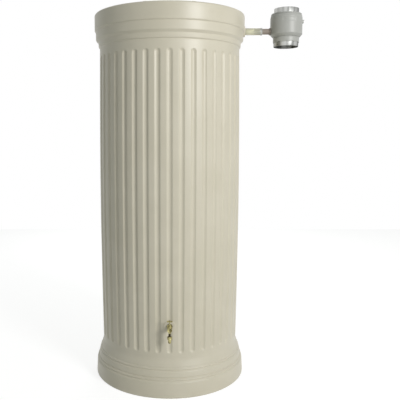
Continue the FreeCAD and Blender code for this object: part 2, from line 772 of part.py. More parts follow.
def diverter_sleeve():
    """Make the lower sleeve with its scalloped hem."""
    sleeve = ring("sleeve", "pipe_seat", "sleeve_radius", "sleeve_length")
    drop = size("sleeve_bottom") - size("scallop_radius") + size("scallop_depth")
    bite = Part.makeCylinder(size("scallop_radius"), size("sleeve_radius") * 2,
                             Vector(0, 0, drop), Vector(1, 0, 0))
    bites = [spun(bite, (index + 0.5) * 360 / SCALLOPS) for index in range(SCALLOPS)]
    hem = solid("scallops", bites[0].multiFuse(bites[1:]))
    return cut("scalloped_sleeve", at_pipe(sleeve, "sleeve_bottom"), at_pipe(hem))


def diverter_catch():
    """Make the catch that stands out of the housing's right side."""
    tab = box("catch_tab", "catch_proud + catch_sink", "catch_width", "catch_length")
    place(tab, x="diverter_offset + body_radius - catch_sink", y="-catch_width / 2",
          z="catch_height - catch_length / 2")
    clear = cylinder("catch_clear", "body_radius + catch_gap", "4 * catch_length")
    return cut("catch", tab, at_pipe(clear, "catch_height - 2 * catch_length"))


def make_spigot():
    """Make the barbed spigot for the hose and the nut that holds it."""
    barb = "hose_bore - hose_fit"
    length = "spigot_nut_start + spigot_nut_length + 2 * body_wall - spigot_start"
    spigot = turned("spigot", [
        ("spigot_bore", "0"),
        ("spigot_radius - spigot_lead", "0"),
        (barb, "spigot_inside / 3"),
        ("spigot_radius - spigot_play", "spigot_inside / 3"),
        (barb, "spigot_inside * 2 / 3"),
        ("spigot_radius", "spigot_inside * 2 / 3"),
        ("spigot_radius", length),
        ("spigot_bore", length),
    ])
    keep(along_hose(spigot, "spigot_start"), "diverter_spigot")
    nut = ring("spigot_nut", "spigot_radius", "spigot_radius + spigot_nut_wall",
               "spigot_nut_length")
    keep(along_hose(nut, "spigot_nut_start"), "spigot_nut")


def check_and_write():
    """Stop at a failed object or shape, then write each piece to its own file."""
    doc.recompute()
    for item in doc.Objects:
        if "Invalid" in item.State or "Error" in item.State:
            raise RuntimeError(f"{item.Label} failed: {item.State}")
    for piece in pieces:
        if piece.Shape.isNull() or not piece.Shape.isValid():
            raise RuntimeError(f"{piece.Label} has no valid shape")
    os.makedirs("parts", exist_ok=True)
    for piece in pieces:
        piece.Shape.exportStep(os.path.join("parts", f"{piece.Label}.step"))


fill_sheet()
make_plinth()
make_shaft()
make_cornice()
make_top()
make_tap()
make_hose()
make_diverter()
check_and_write()
print(len(pieces), "pieces written")
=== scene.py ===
"""Looks of a fluted column rain barrel with a brass tap and a downpipe diverter.

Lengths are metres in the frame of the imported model: the barrel's axis is +Z, the tap
looks along -Y and the diverter stands off along +X.
"""
import logging
import math
from dataclasses import dataclass
from enum import Enum
from typing import Callable, Iterable, NamedTuple, Sequence

import bmesh
import bpy
from mathutils import Matrix, Vector


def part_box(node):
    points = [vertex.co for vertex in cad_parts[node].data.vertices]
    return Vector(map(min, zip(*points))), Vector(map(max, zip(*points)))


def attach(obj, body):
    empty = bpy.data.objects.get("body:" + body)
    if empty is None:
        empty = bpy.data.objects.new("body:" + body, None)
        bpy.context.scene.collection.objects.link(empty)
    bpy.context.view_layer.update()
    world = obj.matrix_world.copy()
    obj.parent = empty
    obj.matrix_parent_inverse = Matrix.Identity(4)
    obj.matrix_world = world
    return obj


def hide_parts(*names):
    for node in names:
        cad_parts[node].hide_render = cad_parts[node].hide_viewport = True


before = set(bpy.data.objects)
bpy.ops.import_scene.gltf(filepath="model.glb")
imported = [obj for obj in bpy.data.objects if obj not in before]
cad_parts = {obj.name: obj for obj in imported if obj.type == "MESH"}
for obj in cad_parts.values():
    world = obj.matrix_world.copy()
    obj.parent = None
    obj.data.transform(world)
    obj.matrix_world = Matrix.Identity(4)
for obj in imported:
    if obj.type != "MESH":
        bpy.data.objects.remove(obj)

LOG = logging.getLogger("rain_barrel")
MM = 0.001
FULL_TURN = 2 * math.pi
WELD = 1e-6
STILL_BODY = "barrel"
TURNING_BODY = "tap_turn"
SHOWN_RAYS = ("Is Camera Ray", "Is Glossy Ray", "Is Transmission Ray")
UP = Vector((0, 0, 1))
TO_FRONT = Matrix.Rotation(math.pi / 2, 4, "X")
TO_RIGHT = Matrix.Rotation(math.pi / 2, 4, "Y")
SIDES = ("right", "back", "left", "front")
STAVES = ("right", "back_right", "back", "back_left", "left", "front_left", "front",
          "front_right")

Colour = tuple[float, float, float, float]


def srgb(red: int, green: int, blue: int) -> Colour:
    """Turn an 8-bit display colour into the linear one that shaders use.

    Args:
        red: Red from 0 to 255.
        green: Green from 0 to 255.
        blue: Blue from 0 to 255.

    Returns:
        The linear colour with full alpha.
    """
    linear = [(c / 255 / 12.92) if c <= 10 else ((c / 255 + 0.055) / 1.055) ** 2.4
              for c in (red, green, blue)]
    return (*linear, 1.0)


class Value:
    """A number in a node tree that takes part in Python arithmetic."""

    def __init__(self, nodes: "NodeTree", socket: bpy.types.NodeSocket) -> None:
        """Hold the tree and the socket that carries the number."""
        self.nodes = nodes
        self.socket = socket

    def __add__(self, other: "Value | float") -> "Value":
        """Add a number or another value."""
        return self.nodes.maths("ADD", self, other)

    __radd__ = __add__

    def __sub__(self, other: "Value | float") -> "Value":
        """Take a number or another value away."""
        return self.nodes.maths("SUBTRACT", self, other)

    def __rsub__(self, other: float) -> "Value":
        """Take this value away from a number."""
        return self.nodes.maths("SUBTRACT", other, self)

    def __mul__(self, other: "Value | float") -> "Value":
        """Multiply by a number or another value."""
        return self.nodes.maths("MULTIPLY", self, other)

    __rmul__ = __mul__


class NodeTree:
    """Builds the nodes of one material around its Principled shader."""

    def __init__(self, name: str) -> None:
        """Start a material with an empty tree, a shader and an output.

        Args:
            name: The material's name.
        """
        self.material = bpy.data.materials.new(name)
        self.material.use_nodes = True
        self.tree = self.material.node_tree
        self.tree.nodes.clear()
        self.shader = self.node("ShaderNodeBsdfPrincipled")
        self.output = self.node("ShaderNodeOutputMaterial")
        self.join(self.shader.outputs[0], self.output.inputs["Surface"])
        place = self.node("ShaderNodeTexCoord")
        self.place = place.outputs["Object"]

    def join(self, start: bpy.types.NodeSocket, end: bpy.types.NodeSocket) -> None:
        """Link two sockets."""
        self.tree.links.new(start, end)

    def node(self, kind: str, settings: dict | None = None,
             inputs: dict | None = None) -> bpy.types.Node:
        """Add a node, with its settings made before its inputs.

        Args:
            kind: The node's type.
            settings: Attributes to set on it first.
            inputs: Values or links for its sockets, by name or number.

        Returns:
            The new node.
        """
        node = self.tree.nodes.new(kind)
        for name, setting in (settings or {}).items():
            setattr(node, name, setting)
        for name, given in (inputs or {}).items():
            self.feed(node.inputs[name], given)
        return node

    def feed(self, socket: bpy.types.NodeSocket, given: object) -> None:
        """Link a socket to a value, or set it to a plain number or colour.

        Args:
            socket: The input socket.
            given: A value, a socket, a number or a colour.
        """
        if isinstance(given, Value):
            self.join(given.socket, socket)
        elif isinstance(given, bpy.types.NodeSocket):
            self.join(given, socket)
        else:
            socket.default_value = given

    def maths(self, operation: str, first: object, second: object) -> Value:
        """Add a Math node.

        Args:
            operation: The Math node's operation.
            first: The first operand.
            second: The second operand.

        Returns:
            The result.
        """
        node = self.node("ShaderNodeMath", {"operation": operation}, {0: first, 1: second})
        return Value(self, node.outputs[0])

    def noise(self, scale: float, detail: float = 2.0, stretch: Sequence[float] = (1, 1, 1)
              ) -> Value:
        """Add noise over the object's own coordinates.

        Args:
            scale: How many features fit in a metre, roughly.
            detail: How many finer layers it has.
            stretch: Scale along each axis, for a grain.

        Returns:
            The noise, from 0 to 1.
        """
        mapping = self.node("ShaderNodeMapping", None,
                            {"Vector": self.place, "Scale": tuple(stretch)})
        node = self.node("ShaderNodeTexNoise", None, {
            "Vector": mapping.outputs[0], "Scale": scale, "Detail": detail})
        return Value(self, node.outputs["Fac"])

    def height(self) -> Value:
        """Return the height above the floor in metres."""
        split = self.node("ShaderNodeSeparateXYZ", None, {0: self.place})
        return Value(self, split.outputs["Z"])

    def band(self, value: Value, low: float, high: float) -> Value:
        """Ramp a value from 0 at one number to 1 at another.

        Args:
            value: The value to ramp.
            low: Where the ramp starts.
            high: Where the ramp ends.

        Returns:
            The ramp, from 0 to 1.
        """
        node = self.node("ShaderNodeMapRange", {"interpolation_type": "SMOOTHSTEP"}, {
            "Value": value, "From Min": low, "From Max": high})
        return Value(self, node.outputs[0])

    def blend(self, share: Value, first: object, second: object) -> bpy.types.NodeSocket:
        """Blend two colours.

        Args:
            share: How much of the second colour shows, from 0 to 1.
            first: The first colour or its socket.
            second: The second colour or its socket.

        Returns:
            The blended colour's socket.
        """
        node = self.node("ShaderNodeMix", {"data_type": "RGBA"}, {
            0: share, 6: first, 7: second})
        return node.outputs[2]

    def bump(self, relief: Value, depth: float) -> None:
        """Raise the surface by a relief.

        Args:
            relief: The relief, from 0 to 1.
            depth: Its depth in metres.
        """
        node = self.node("ShaderNodeBump", None, {
            "Height": relief, "Distance": depth, "Strength": 1.0})
        self.join(node.outputs[0], self.shader.inputs["Normal"])

    def set(self, **inputs: object) -> None:
        """Set or link the shader's sockets.

        Args:
            inputs: What each socket gets, by its name with _ for each space.
        """
        for name, given in inputs.items():
            self.feed(self.shader.inputs[name.replace("_", " ")], given)


@dataclass(frozen=True)
class Plastic:
    """Moulded plastic with faint cloudiness and a fine orange-peel skin."""

    name: str
    colour: Colour
    shade: Colour
    roughness: float = 0.42
    cloud_scale: float = 5.0
    peel_scale: float = 700.0
    peel_depth: float = 0.00005
    sheen_roughness: float = 0.06

    def material(self) -> bpy.types.Material:
        """Build the material.

        Returns:
            The new material.
        """
        nodes = NodeTree(self.name)
        cloud = nodes.noise(self.cloud_scale, 4.0)
        speck = nodes.noise(self.cloud_scale * 40, 2.0)
        share = nodes.band(cloud * 0.8 + speck * 0.2, 0.35, 0.68)
        nodes.set(Base_Color=nodes.blend(share, self.shade, self.colour),
                  Roughness=self.roughness + (cloud - 0.5) * self.sheen_roughness)
        nodes.bump(nodes.noise(self.peel_scale, 1.0) + nodes.noise(60.0, 1.0) * 1.5,
                   self.peel_depth)
        return nodes.material


@dataclass(frozen=True)
class Metal:
    """Bare metal with a grain, blotches and softened shine, and optionally a band of painted
    shade by height.
    """

    name: str
    colour: Colour
    tarnish_and_reflection: Colour
    roughness: float = 0.34
    blotch_scale: float = 60.0
    grain: tuple[float, float, float] = (1, 1, 1)
    # The colour and the heights of a band of painted shade.
    painted_shade: Colour = srgb(62, 56, 40)
    painted_shade_span: tuple[float, float] | None = None

    def material(self) -> bpy.types.Material:
        """Build the material.

        Returns:
            The new material.
        """
        nodes = NodeTree(self.name)
        blotch = nodes.noise(self.blotch_scale, 3.0, self.grain)
        scratch = nodes.noise(400.0, 2.0, self.grain)
        share = nodes.band(blotch, 0.36, 0.66)
        # Blotches of the darker tone; on the zinc the grain stretches them into upright streaks
        # that are partly painted reflection bands.
        colour = nodes.blend(share, self.tarnish_and_reflection, self.colour)
        # A band of heights is darkened with painted shade.
        if self.painted_shade_span:
            low, high = self.painted_shade_span
            height, edge = nodes.height(), 2 * MM
            shade_band = (nodes.band(height, low - edge, low + edge)
                       * (1 - nodes.band(height, high - edge, high + edge)))
            colour = nodes.blend(shade_band, colour, self.painted_shade)
        nodes.set(Base_Color=colour,
                  Metallic=1.0,
                  Roughness=self.roughness + (scratch - 0.5) * 0.16 + share * 0.05)
        nodes.bump(scratch, 0.00003)
        return nodes.material


@dataclass(frozen=True)
class Rubber:
    """Black seal rubber with a dusty bloom."""

    name: str = "seal_rubber"
    colour: Colour = srgb(38, 38, 38)
    bloom: Colour = srgb(72, 71, 68)

    def material(self) -> bpy.types.Material:
        """Build the material.

        Returns:
            The new material.
        """
        nodes = NodeTree(self.name)
        dust = nodes.band(nodes.noise(120.0, 3.0), 0.4, 0.7)
        nodes.set(Base_Color=nodes.blend(dust, self.colour, self.bloom),
                  Roughness=0.72 + dust * 0.12)
        nodes.bump(nodes.noise(900.0, 1.0), 0.00004)
        return nodes.material


@dataclass(frozen=True)
class ClearHose:
    """Clear cream hose with faint lengthwise streaks."""

    name: str = "clear_hose"
    colour: Colour = srgb(240, 239, 224)
    streak: Colour = srgb(222, 220, 200)

    def material(self) -> bpy.types.Material:
        """Build the material.

        Returns:
            The new material.
        """
        nodes = NodeTree(self.name)
        streaks = nodes.band(nodes.noise(90.0, 2.0, (0.05, 1, 1)), 0.35, 0.7)
        nodes.set(Base_Color=nodes.blend(streaks, self.streak, self.colour),
                  Roughness=0.16 + streaks * 0.08, Transmission_Weight=0.55, IOR=1.35)
        nodes.bump(nodes.noise(260.0, 1.0, (0.1, 1, 1)), 0.00005)
        return nodes.material


class Finish(Enum):
    """The finishes on the barrel and its fittings."""

    BARREL = Plastic("barrel_plastic", srgb(210, 203, 185), srgb(205, 198, 179), 0.4)
    DIVERTER = Plastic("diverter_plastic", srgb(176, 176, 171), srgb(170, 170, 165), 0.42)
    SPIGOT = Plastic("spigot_plastic", srgb(150, 138, 128), srgb(138, 127, 118), 0.4)
    # The brass gets a dark band of painted shade round the spout's neck.
    BRASS = Metal("tap_brass", srgb(192, 184, 134), srgb(118, 111, 74), 0.36, 70.0,
                  painted_shade_span=(359 * MM, 377 * MM))
    # The zinc's dark upright streaks are partly grain and partly painted reflection bands.
    ZINC = Metal("zinc_sheet", srgb(196, 197, 194), srgb(112, 113, 111), 0.44, 26.0,
                 (1, 1, 0.06))
    STEEL = Metal("band_steel", srgb(186, 186, 184), srgb(150, 150, 148), 0.28)
    RUBBER = Rubber()
    HOSE = ClearHose()


class Dresser:
    """Keeps one material for each finish."""

    def __init__(self) -> None:
        """Start with no materials."""
        self.made: dict[Finish, bpy.types.Material] = {}

    def material(self, finish: Finish) -> bpy.types.Material:
        """Return the finish's material, and build it the first time.

        Args:
            finish: The finish that a piece asks for.

        Returns:
            The one material of that finish.
        """
        if finish not in self.made:
            self.made[finish] = finish.value.material()
        return self.made[finish]


DRESSER = Dresser()


class Corner(NamedTuple):
    """A corner of an outline by radius and height, with the size of its rounding."""

    radius: float
    height: float
    round: float = 0.0


class Form:
    """A mesh in the making."""

    def __init__(self) -> None:
        """Start with an empty mesh."""
        self.bm = bmesh.new()

    def turn(self, corners: Iterable[Corner], steps: int = 96, segments: int = 4) -> "Form":
        """Spin a closed outline about Z.

        Args:
            corners: The outline's corners in order.
            steps: How many steps make the full turn.
            segments: How many edges each rounding has.

        Returns:
            This form.
        """
        corners = list(corners)
        bm = bmesh.new()
        verts = [bm.verts.new((corner.radius, 0, corner.height)) for corner in corners]
        for first, second in zip(verts, verts[1:] + verts[:1]):
            if not (first.co.x < WELD and second.co.x < WELD):
                bm.edges.new((first, second))
        for vert, corner in zip(verts, corners):
            if corner.round:
                bmesh.ops.bevel(bm, geom=[vert], affect="VERTICES", offset=corner.round,
                                segments=segments, profile=0.5, material=-1)
        bmesh.ops.spin(bm, geom=bm.verts[:] + bm.edges[:], cent=(0, 0, 0), axis=UP,
                       angle=FULL_TURN, steps=steps, use_merge=True, use_duplicate=False)
        bmesh.ops.remove_doubles(bm, verts=bm.verts, dist=WELD)
        bmesh.ops.recalc_face_normals(bm, faces=bm.faces)
        return self.take(bm)

    def ring(self, inner: float, outer: float, span: tuple[float, float],
             rounds: Sequence[float], steps: int = 96, segments: int = 3) -> "Form":
        """Add a ring about Z.

        Args:
            inner: The radius of its hole.
            outer: Its outer radius.
            span: The heights of its two ends.
            rounds: The rounding of its low inner, low outer, high outer and high
                inner edge.
            steps: How many steps make the full turn.
            segments: How many edges each rounding has.

        Returns:
            This form.
        """
        low, high = span
        places = ((inner, low), (outer, low), (outer, high), (inner, high))
        return self.turn([Corner(*place, edge) for place, edge in zip(places, rounds)],
                         steps, segments)

    def take(self, other: bmesh.types.BMesh) -> "Form":
        """Add another mesh to this one and free it.

        Args:
            other: The mesh to add.

        Returns:
            This form.
        """
        mesh = bpy.data.meshes.new("part")
        other.to_mesh(mesh)
        other.free()
        self.bm.from_mesh(mesh)
        bpy.data.meshes.remove(mesh)
        return self

    def prism(self, sides: int, radius: float, low: float, high: float,
              chamfer: float = 0.0) -> "Form":
        """Add an upright prism.

        Args:
            sides: How many sides it has.
            radius: Its radius to the corners.
            low: The height of its base.
            high: The height of its top.
            chamfer: How far its edges are cut back.

        Returns:
            This form.
        """
        bm = bmesh.new()
        bmesh.ops.create_cone(bm, cap_ends=True, segments=sides, radius1=radius,
                              radius2=radius, depth=high - low,
                              matrix=Matrix.Translation((0, 0, (low + high) / 2)))
        if chamfer:
            bmesh.ops.bevel(bm, geom=bm.edges[:], affect="EDGES", offset=chamfer,
                            segments=2, profile=0.5, material=-1)
        return self.take(bm)

    def block(self, low: Vector, high: Vector, round_by: float, segments: int = 3) -> "Form":
        """Add a box with rounded edges.

        Args:
            low: Its lowest corner.
            high: Its highest corner.
            round_by: The size of its roundings.
            segments: How many edges each rounding has.

        Returns:
            This form.
        """
        bm = bmesh.new()
        span = high - low
        bmesh.ops.create_cube(bm, size=1, matrix=Matrix.Translation((low + high) / 2)
                              @ Matrix.Diagonal((*span, 1)))
        bmesh.ops.bevel(bm, geom=bm.edges[:], affect="EDGES", offset=round_by,
                        segments=segments, profile=0.5, material=-1)
        return self.take(bm)

    def ball(self, radius: float, centre: Vector) -> "Form":
        """Add a ball.

        Args:
            radius: Its radius.
            centre: Its middle.

        Returns:
            This form.
        """
        bm = bmesh.new()
        bmesh.ops.create_icosphere(bm, subdivisions=3, radius=radius,
                                   matrix=Matrix.Translation(centre))
        return self.take(bm)

    def shift(self, matrix: Matrix) -> "Form":
        """Move all that has been made so far."""
        bmesh.ops.transform(self.bm, matrix=matrix, verts=self.bm.verts)
        return self

    def mould(self, move: Callable[[Vector], Vector]) -> "Form":
        """Move each vertex by a rule.

        Args:
            move: Gives a vertex's new place from its old one.

        Returns:
            This form.
        """
        for vert in self.bm.verts:
            vert.co = move(vert.co)
        return self

    def piece(self, name: str, finish: Finish, nodes: Sequence[str] = (),
              body: str = STILL_BODY, crease: float = 32.0) -> bpy.types.Object:
        """Finish the mesh as a piece of the object.

        Args:
            name: The piece's name.
            finish: Its finish.
            nodes: The nodes that it stands for.
            body: The body that it moves with.
            crease: The angle in degrees past which an edge stays sharp.

        Returns:
            The new object.
        """
        mesh = bpy.data.meshes.new(name)
        self.bm.to_mesh(mesh)
        self.bm.free()
        mesh.polygons.foreach_set("use_smooth", [True] * len(mesh.polygons))
        mesh.set_sharp_from_angle(angle=math.radians(crease))
        mesh.materials.append(DRESSER.material(finish))
        piece = bpy.data.objects.new(name, mesh)
        bpy.context.scene.collection.objects.link(piece)
        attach(piece, body)
        if nodes:
            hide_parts(*nodes)
        LOG.info("%s: %d faces", name, len(mesh.polygons))
        return piece


def remeshed(piece: bpy.types.Object, voxel: float, passes: int) -> None:
    """Fuse a piece's overlapping shapes as a casting with soft inner corners.

    Args:
        piece: The piece whose mesh is replaced.
        voxel: The size of the mesh's cells.
        passes: How often it is smoothed.
    """
    fuse = piece.modifiers.new("fuse", "REMESH")
    fuse.mode = "VOXEL"
    fuse.voxel_size = voxel
    soften = piece.modifiers.new("soften", "SMOOTH")
    soften.factor = 0.5
    soften.iterations = passes
    shape = piece.evaluated_get(bpy.context.evaluated_depsgraph_get())
    mesh = bpy.data.meshes.new_from_object(shape)
    piece.modifiers.clear()
    piece.data = mesh
    mesh.polygons.foreach_set("use_smooth", [True] * len(mesh.polygons))


@dataclass
class Plinth:
    """The foot of the barrel, stepped in under the shaft, and the floor of the tank."""

    neck_radius: float = 403 * MM
    foot_step: float = 43 * MM
    wall_step: float = 38.5 * MM
    low_shelf_step: float = 33 * MM
    band_low_step: float = 27.5 * MM
    band_high_step: float = 22 * MM
    mid_shelf_step: float = 18 * MM
    cove_depth: float = 2.2 * MM
    cove_width: float = 5 * MM
    flare_step: float = 12 * MM
    height: float = 86 * MM
    low_shelf: float = 94 * MM
    low_shelf_end: float = 104 * MM
    band_start: float = 110 * MM
    band_end: float = 142 * MM
    mid_shelf: float = 148 * MM
    mid_shelf_end: float = 157 * MM
    top_shelf: float = 163 * MM
    flare_start: float = 168 * MM
    flare_end: float = 204 * MM
    top: float = 215 * MM
    foot_width: float = 46 * MM
    foot_thickness: float = 8 * MM
    floor_thickness: float = 6 * MM
    floor_gap: float = 1.5 * MM
    wall: float = 8 * MM
    shaft_wall: float = 12 * MM
    steps: int = 180

    def build(self) -> None:
        """Make the drum and the floor plate."""
        neck, inner = self.neck_radius, self.neck_radius - self.shaft_wall
        foot = neck + self.foot_step
        bore = foot - self.foot_width
        Form().turn([
            Corner(bore, 0),
            Corner(foot - 4 * MM, 0, 1.5 * MM),
            Corner(foot, 4 * MM, 3 * MM),
            Corner(neck + self.wall_step, self.height, 3 * MM),
            Corner(neck + self.low_shelf_step - self.cove_depth, self.low_shelf, 1.5 * MM),
            Corner(neck + self.low_shelf_step, self.low_shelf + self.cove_width, 1.5 * MM),
            Corner(neck + self.low_shelf_step, self.low_shelf_end, 2 * MM),
            Corner(neck + self.band_low_step - self.cove_depth, self.band_start, 1.5 * MM),
            Corner(neck + self.band_low_step, self.band_start + self.cove_width, 2 * MM),
            Corner(neck + self.band_high_step, self.band_end, 2.5 * MM),
            Corner(neck + self.mid_shelf_step - self.cove_depth, self.mid_shelf, 1.5 * MM),
            Corner(neck + self.mid_shelf_step, self.mid_shelf + self.cove_width, 1.5 * MM),
            Corner(neck + self.mid_shelf_step, self.mid_shelf_end, 2 * MM),
            Corner(neck + self.flare_step, self.top_shelf, 1.5 * MM),
            Corner(neck + self.flare_step, self.flare_start, 3 * MM),
            Corner(neck, self.flare_end, 9 * MM),
            Corner(neck, self.top),
            Corner(inner, self.top),
            Corner(inner, self.flare_start),
            Corner(neck + self.band_high_step - self.shaft_wall,
                   self.band_end - 2 * self.shaft_wall),
            Corner(neck + self.band_low_step - self.shaft_wall, self.band_start),
            Corner(neck + self.wall_step - self.wall, self.height - 3 * self.wall),
            Corner(foot - self.wall, self.foot_thickness),
            Corner(bore, self.foot_thickness),
        ], self.steps, 5).piece("plinth", Finish.BARREL, [f"plinth_{side}" for side in SIDES])
        self.build_floor(bore, foot - self.wall)

    def build_floor(self, bore: float, inside: float) -> None:
        """Make the stepped floor plate.

        Args:
            bore: The radius of the hole in the foot.
            inside: The radius of the wall above the foot.
        """
        floor_top = self.foot_thickness + self.floor_thickness
        Form().turn([
            Corner(0, 0), Corner(bore - self.floor_gap, 0, 1 * MM),
            Corner(bore - self.floor_gap, self.foot_thickness),
            Corner(inside - self.floor_gap, self.foot_thickness),
            Corner(inside - self.floor_gap, floor_top, 1 * MM), Corner(0, floor_top),
        ], self.steps, 2).piece("floor_plate", Finish.BARREL, ["base_floor"])


@dataclass
class Shaft:
    """The swelling shaft with its flutes, and the pad for the tap."""

    bottom: float = 215 * MM
    top: float = 1905 * MM
    neck_radius: float = 403 * MM
    swell: float = 8 * MM
    wall: float = 12 * MM
    flutes: int = 40
    flute_low: float = 240 * MM
    flute_high: float = 1871 * MM
    flute_depth: float = 7 * MM
    flute_half_width: float = 15.2 * MM
    lip: float = 0.9 * MM
    pad_radius: float = 31 * MM
    pad_bore: float = 14 * MM
    pad_sunk: float = 20 * MM
    pad_round: float = 1.6 * MM
    pad_proud: float = 5 * MM
    tap_height: float = 396 * MM

    def radius(self, height: float) -> float:
        """Return the shaft's radius at a height.

        Args:
            height: The height above the floor.

        Returns:
            The radius outside the flutes.
        """
        share = (height - self.bottom) / (self.top - self.bottom)
        return self.neck_radius + self.swell * math.sin(math.pi * share)

    def groove(self, across: float, height: float) -> float:
        """Return how deep the flute is.

        Args:
            across: The distance from its centre line round the shaft.
            height: The height above the floor.

        Returns:
            The depth, near nothing outside the flute.
        """
        end = self.flute_half_width
        beyond = max(self.flute_low + end - height, height - self.flute_high + end, 0)
        reach = math.hypot(across, beyond) / self.flute_half_width
        depth = self.flute_depth * (1 - reach ** 2)
        return (depth + math.sqrt(depth ** 2 + self.lip ** 2)) / 2

    def columns(self) -> list[float]:
        """Set out the mesh columns of one flute.

        Returns:
            The angles of the columns, closer at the flute's lips.
        """
        half = math.pi / self.flutes
        lip = self.flute_half_width / self.neck_radius
        side = [half, (half + lip) * 0.5, lip * 1.12, lip * 1.05, lip, lip * 0.95,
                lip * 0.88, lip * 0.75, lip * 0.55, lip * 0.35, lip * 0.17]
        return [-angle for angle in side] + [0.0] + side[::-1]

    def rows(self) -> list[float]:
        """Set out the mesh rows up the shaft.

        Returns:
            The heights of the rows, closer at the ends of the flutes.
        """
        reach = self.flute_half_width
        fine = [reach * share for share in
                (-0.15, -0.06, 0, 0.05, 0.12, 0.2, 0.32, 0.5, 0.75, 1.0, 1.2)]
        middle = [self.flute_low + (self.flute_high - self.flute_low) * step / 16
                  for step in range(1, 16)]
        return ([self.bottom] + [self.flute_low + rise for rise in fine] + middle
                + [self.flute_high - rise for rise in reversed(fine)] + [self.top])

    def wall_form(self) -> Form:
        """Make the wall: one flute, spun round, then closed along the inside.

        Returns:
            The whole wall.
        """
        columns, rows = self.columns(), self.rows()
        wide, tall = len(columns) - 1, len(rows) - 1
        bm = bmesh.new()
        bmesh.ops.create_grid(bm, x_segments=wide, y_segments=tall, size=1)
        for vert in bm.verts:
            angle = columns[round((vert.co.x + 1) / 2 * wide)]
            height = rows[round((vert.co.y + 1) / 2 * tall)]
            outer = self.radius(height)
            reach = outer - self.groove(outer * angle, height)
            vert.co = (reach * math.sin(angle), -reach * math.cos(angle), height)
        bmesh.ops.spin(bm, geom=bm.verts[:] + bm.edges[:] + bm.faces[:], cent=(0, 0, 0),
                       axis=UP, angle=FULL_TURN, steps=self.flutes, use_duplicate=True)
        bmesh.ops.remove_doubles(bm, verts=bm.verts, dist=WELD * 10)
        self.close_inside(bm)
        bmesh.ops.recalc_face_normals(bm, faces=bm.faces)
        return Form().take(bm)

    def close_inside(self, bm: bmesh.types.BMesh) -> None:
        """Extrude the bottom edge inwards, up the inside and out to the top edge.

        Args:
            bm: The outer wall, open at both ends.
        """
        edges = [edge for edge in bm.edges if edge.is_boundary
                 and all(vert.co.z < self.bottom + MM for vert in edge.verts)]
        inner = self.neck_radius - self.wall
        for radius, height in ((inner, self.bottom), (inner, self.top),
                               (self.neck_radius, self.top)):
            grown = bmesh.ops.extrude_edge_only(bm, edges=edges)["geom"]
            edges = [item for item in grown if isinstance(item, bmesh.types.BMEdge)]
            for vert in (item for item in grown if isinstance(item, bmesh.types.BMVert)):
                flat = Vector((vert.co.x, vert.co.y, 0)).normalized() * radius
                vert.co = (flat.x, flat.y, height)
        bmesh.ops.remove_doubles(bm, verts=bm.verts, dist=WELD * 20)

    def build(self) -> None:
        """Make the fluted wall and the tap's pad."""
        self.wall_form().piece("shaft", Finish.BARREL,
                               [f"stave_{side}" for side in STAVES], crease=60)
        face = self.radius(self.tap_height) + self.pad_proud
        pad = Form().ring(self.pad_bore, self.pad_radius, (-self.pad_sunk, 0),
                          (0, 0, self.pad_round, 0), 96, 6)
        pad.shift(Matrix.Translation((0, -face, self.tap_height)) @ TO_FRONT)
        pad.piece("tap_pad", Finish.BARREL)


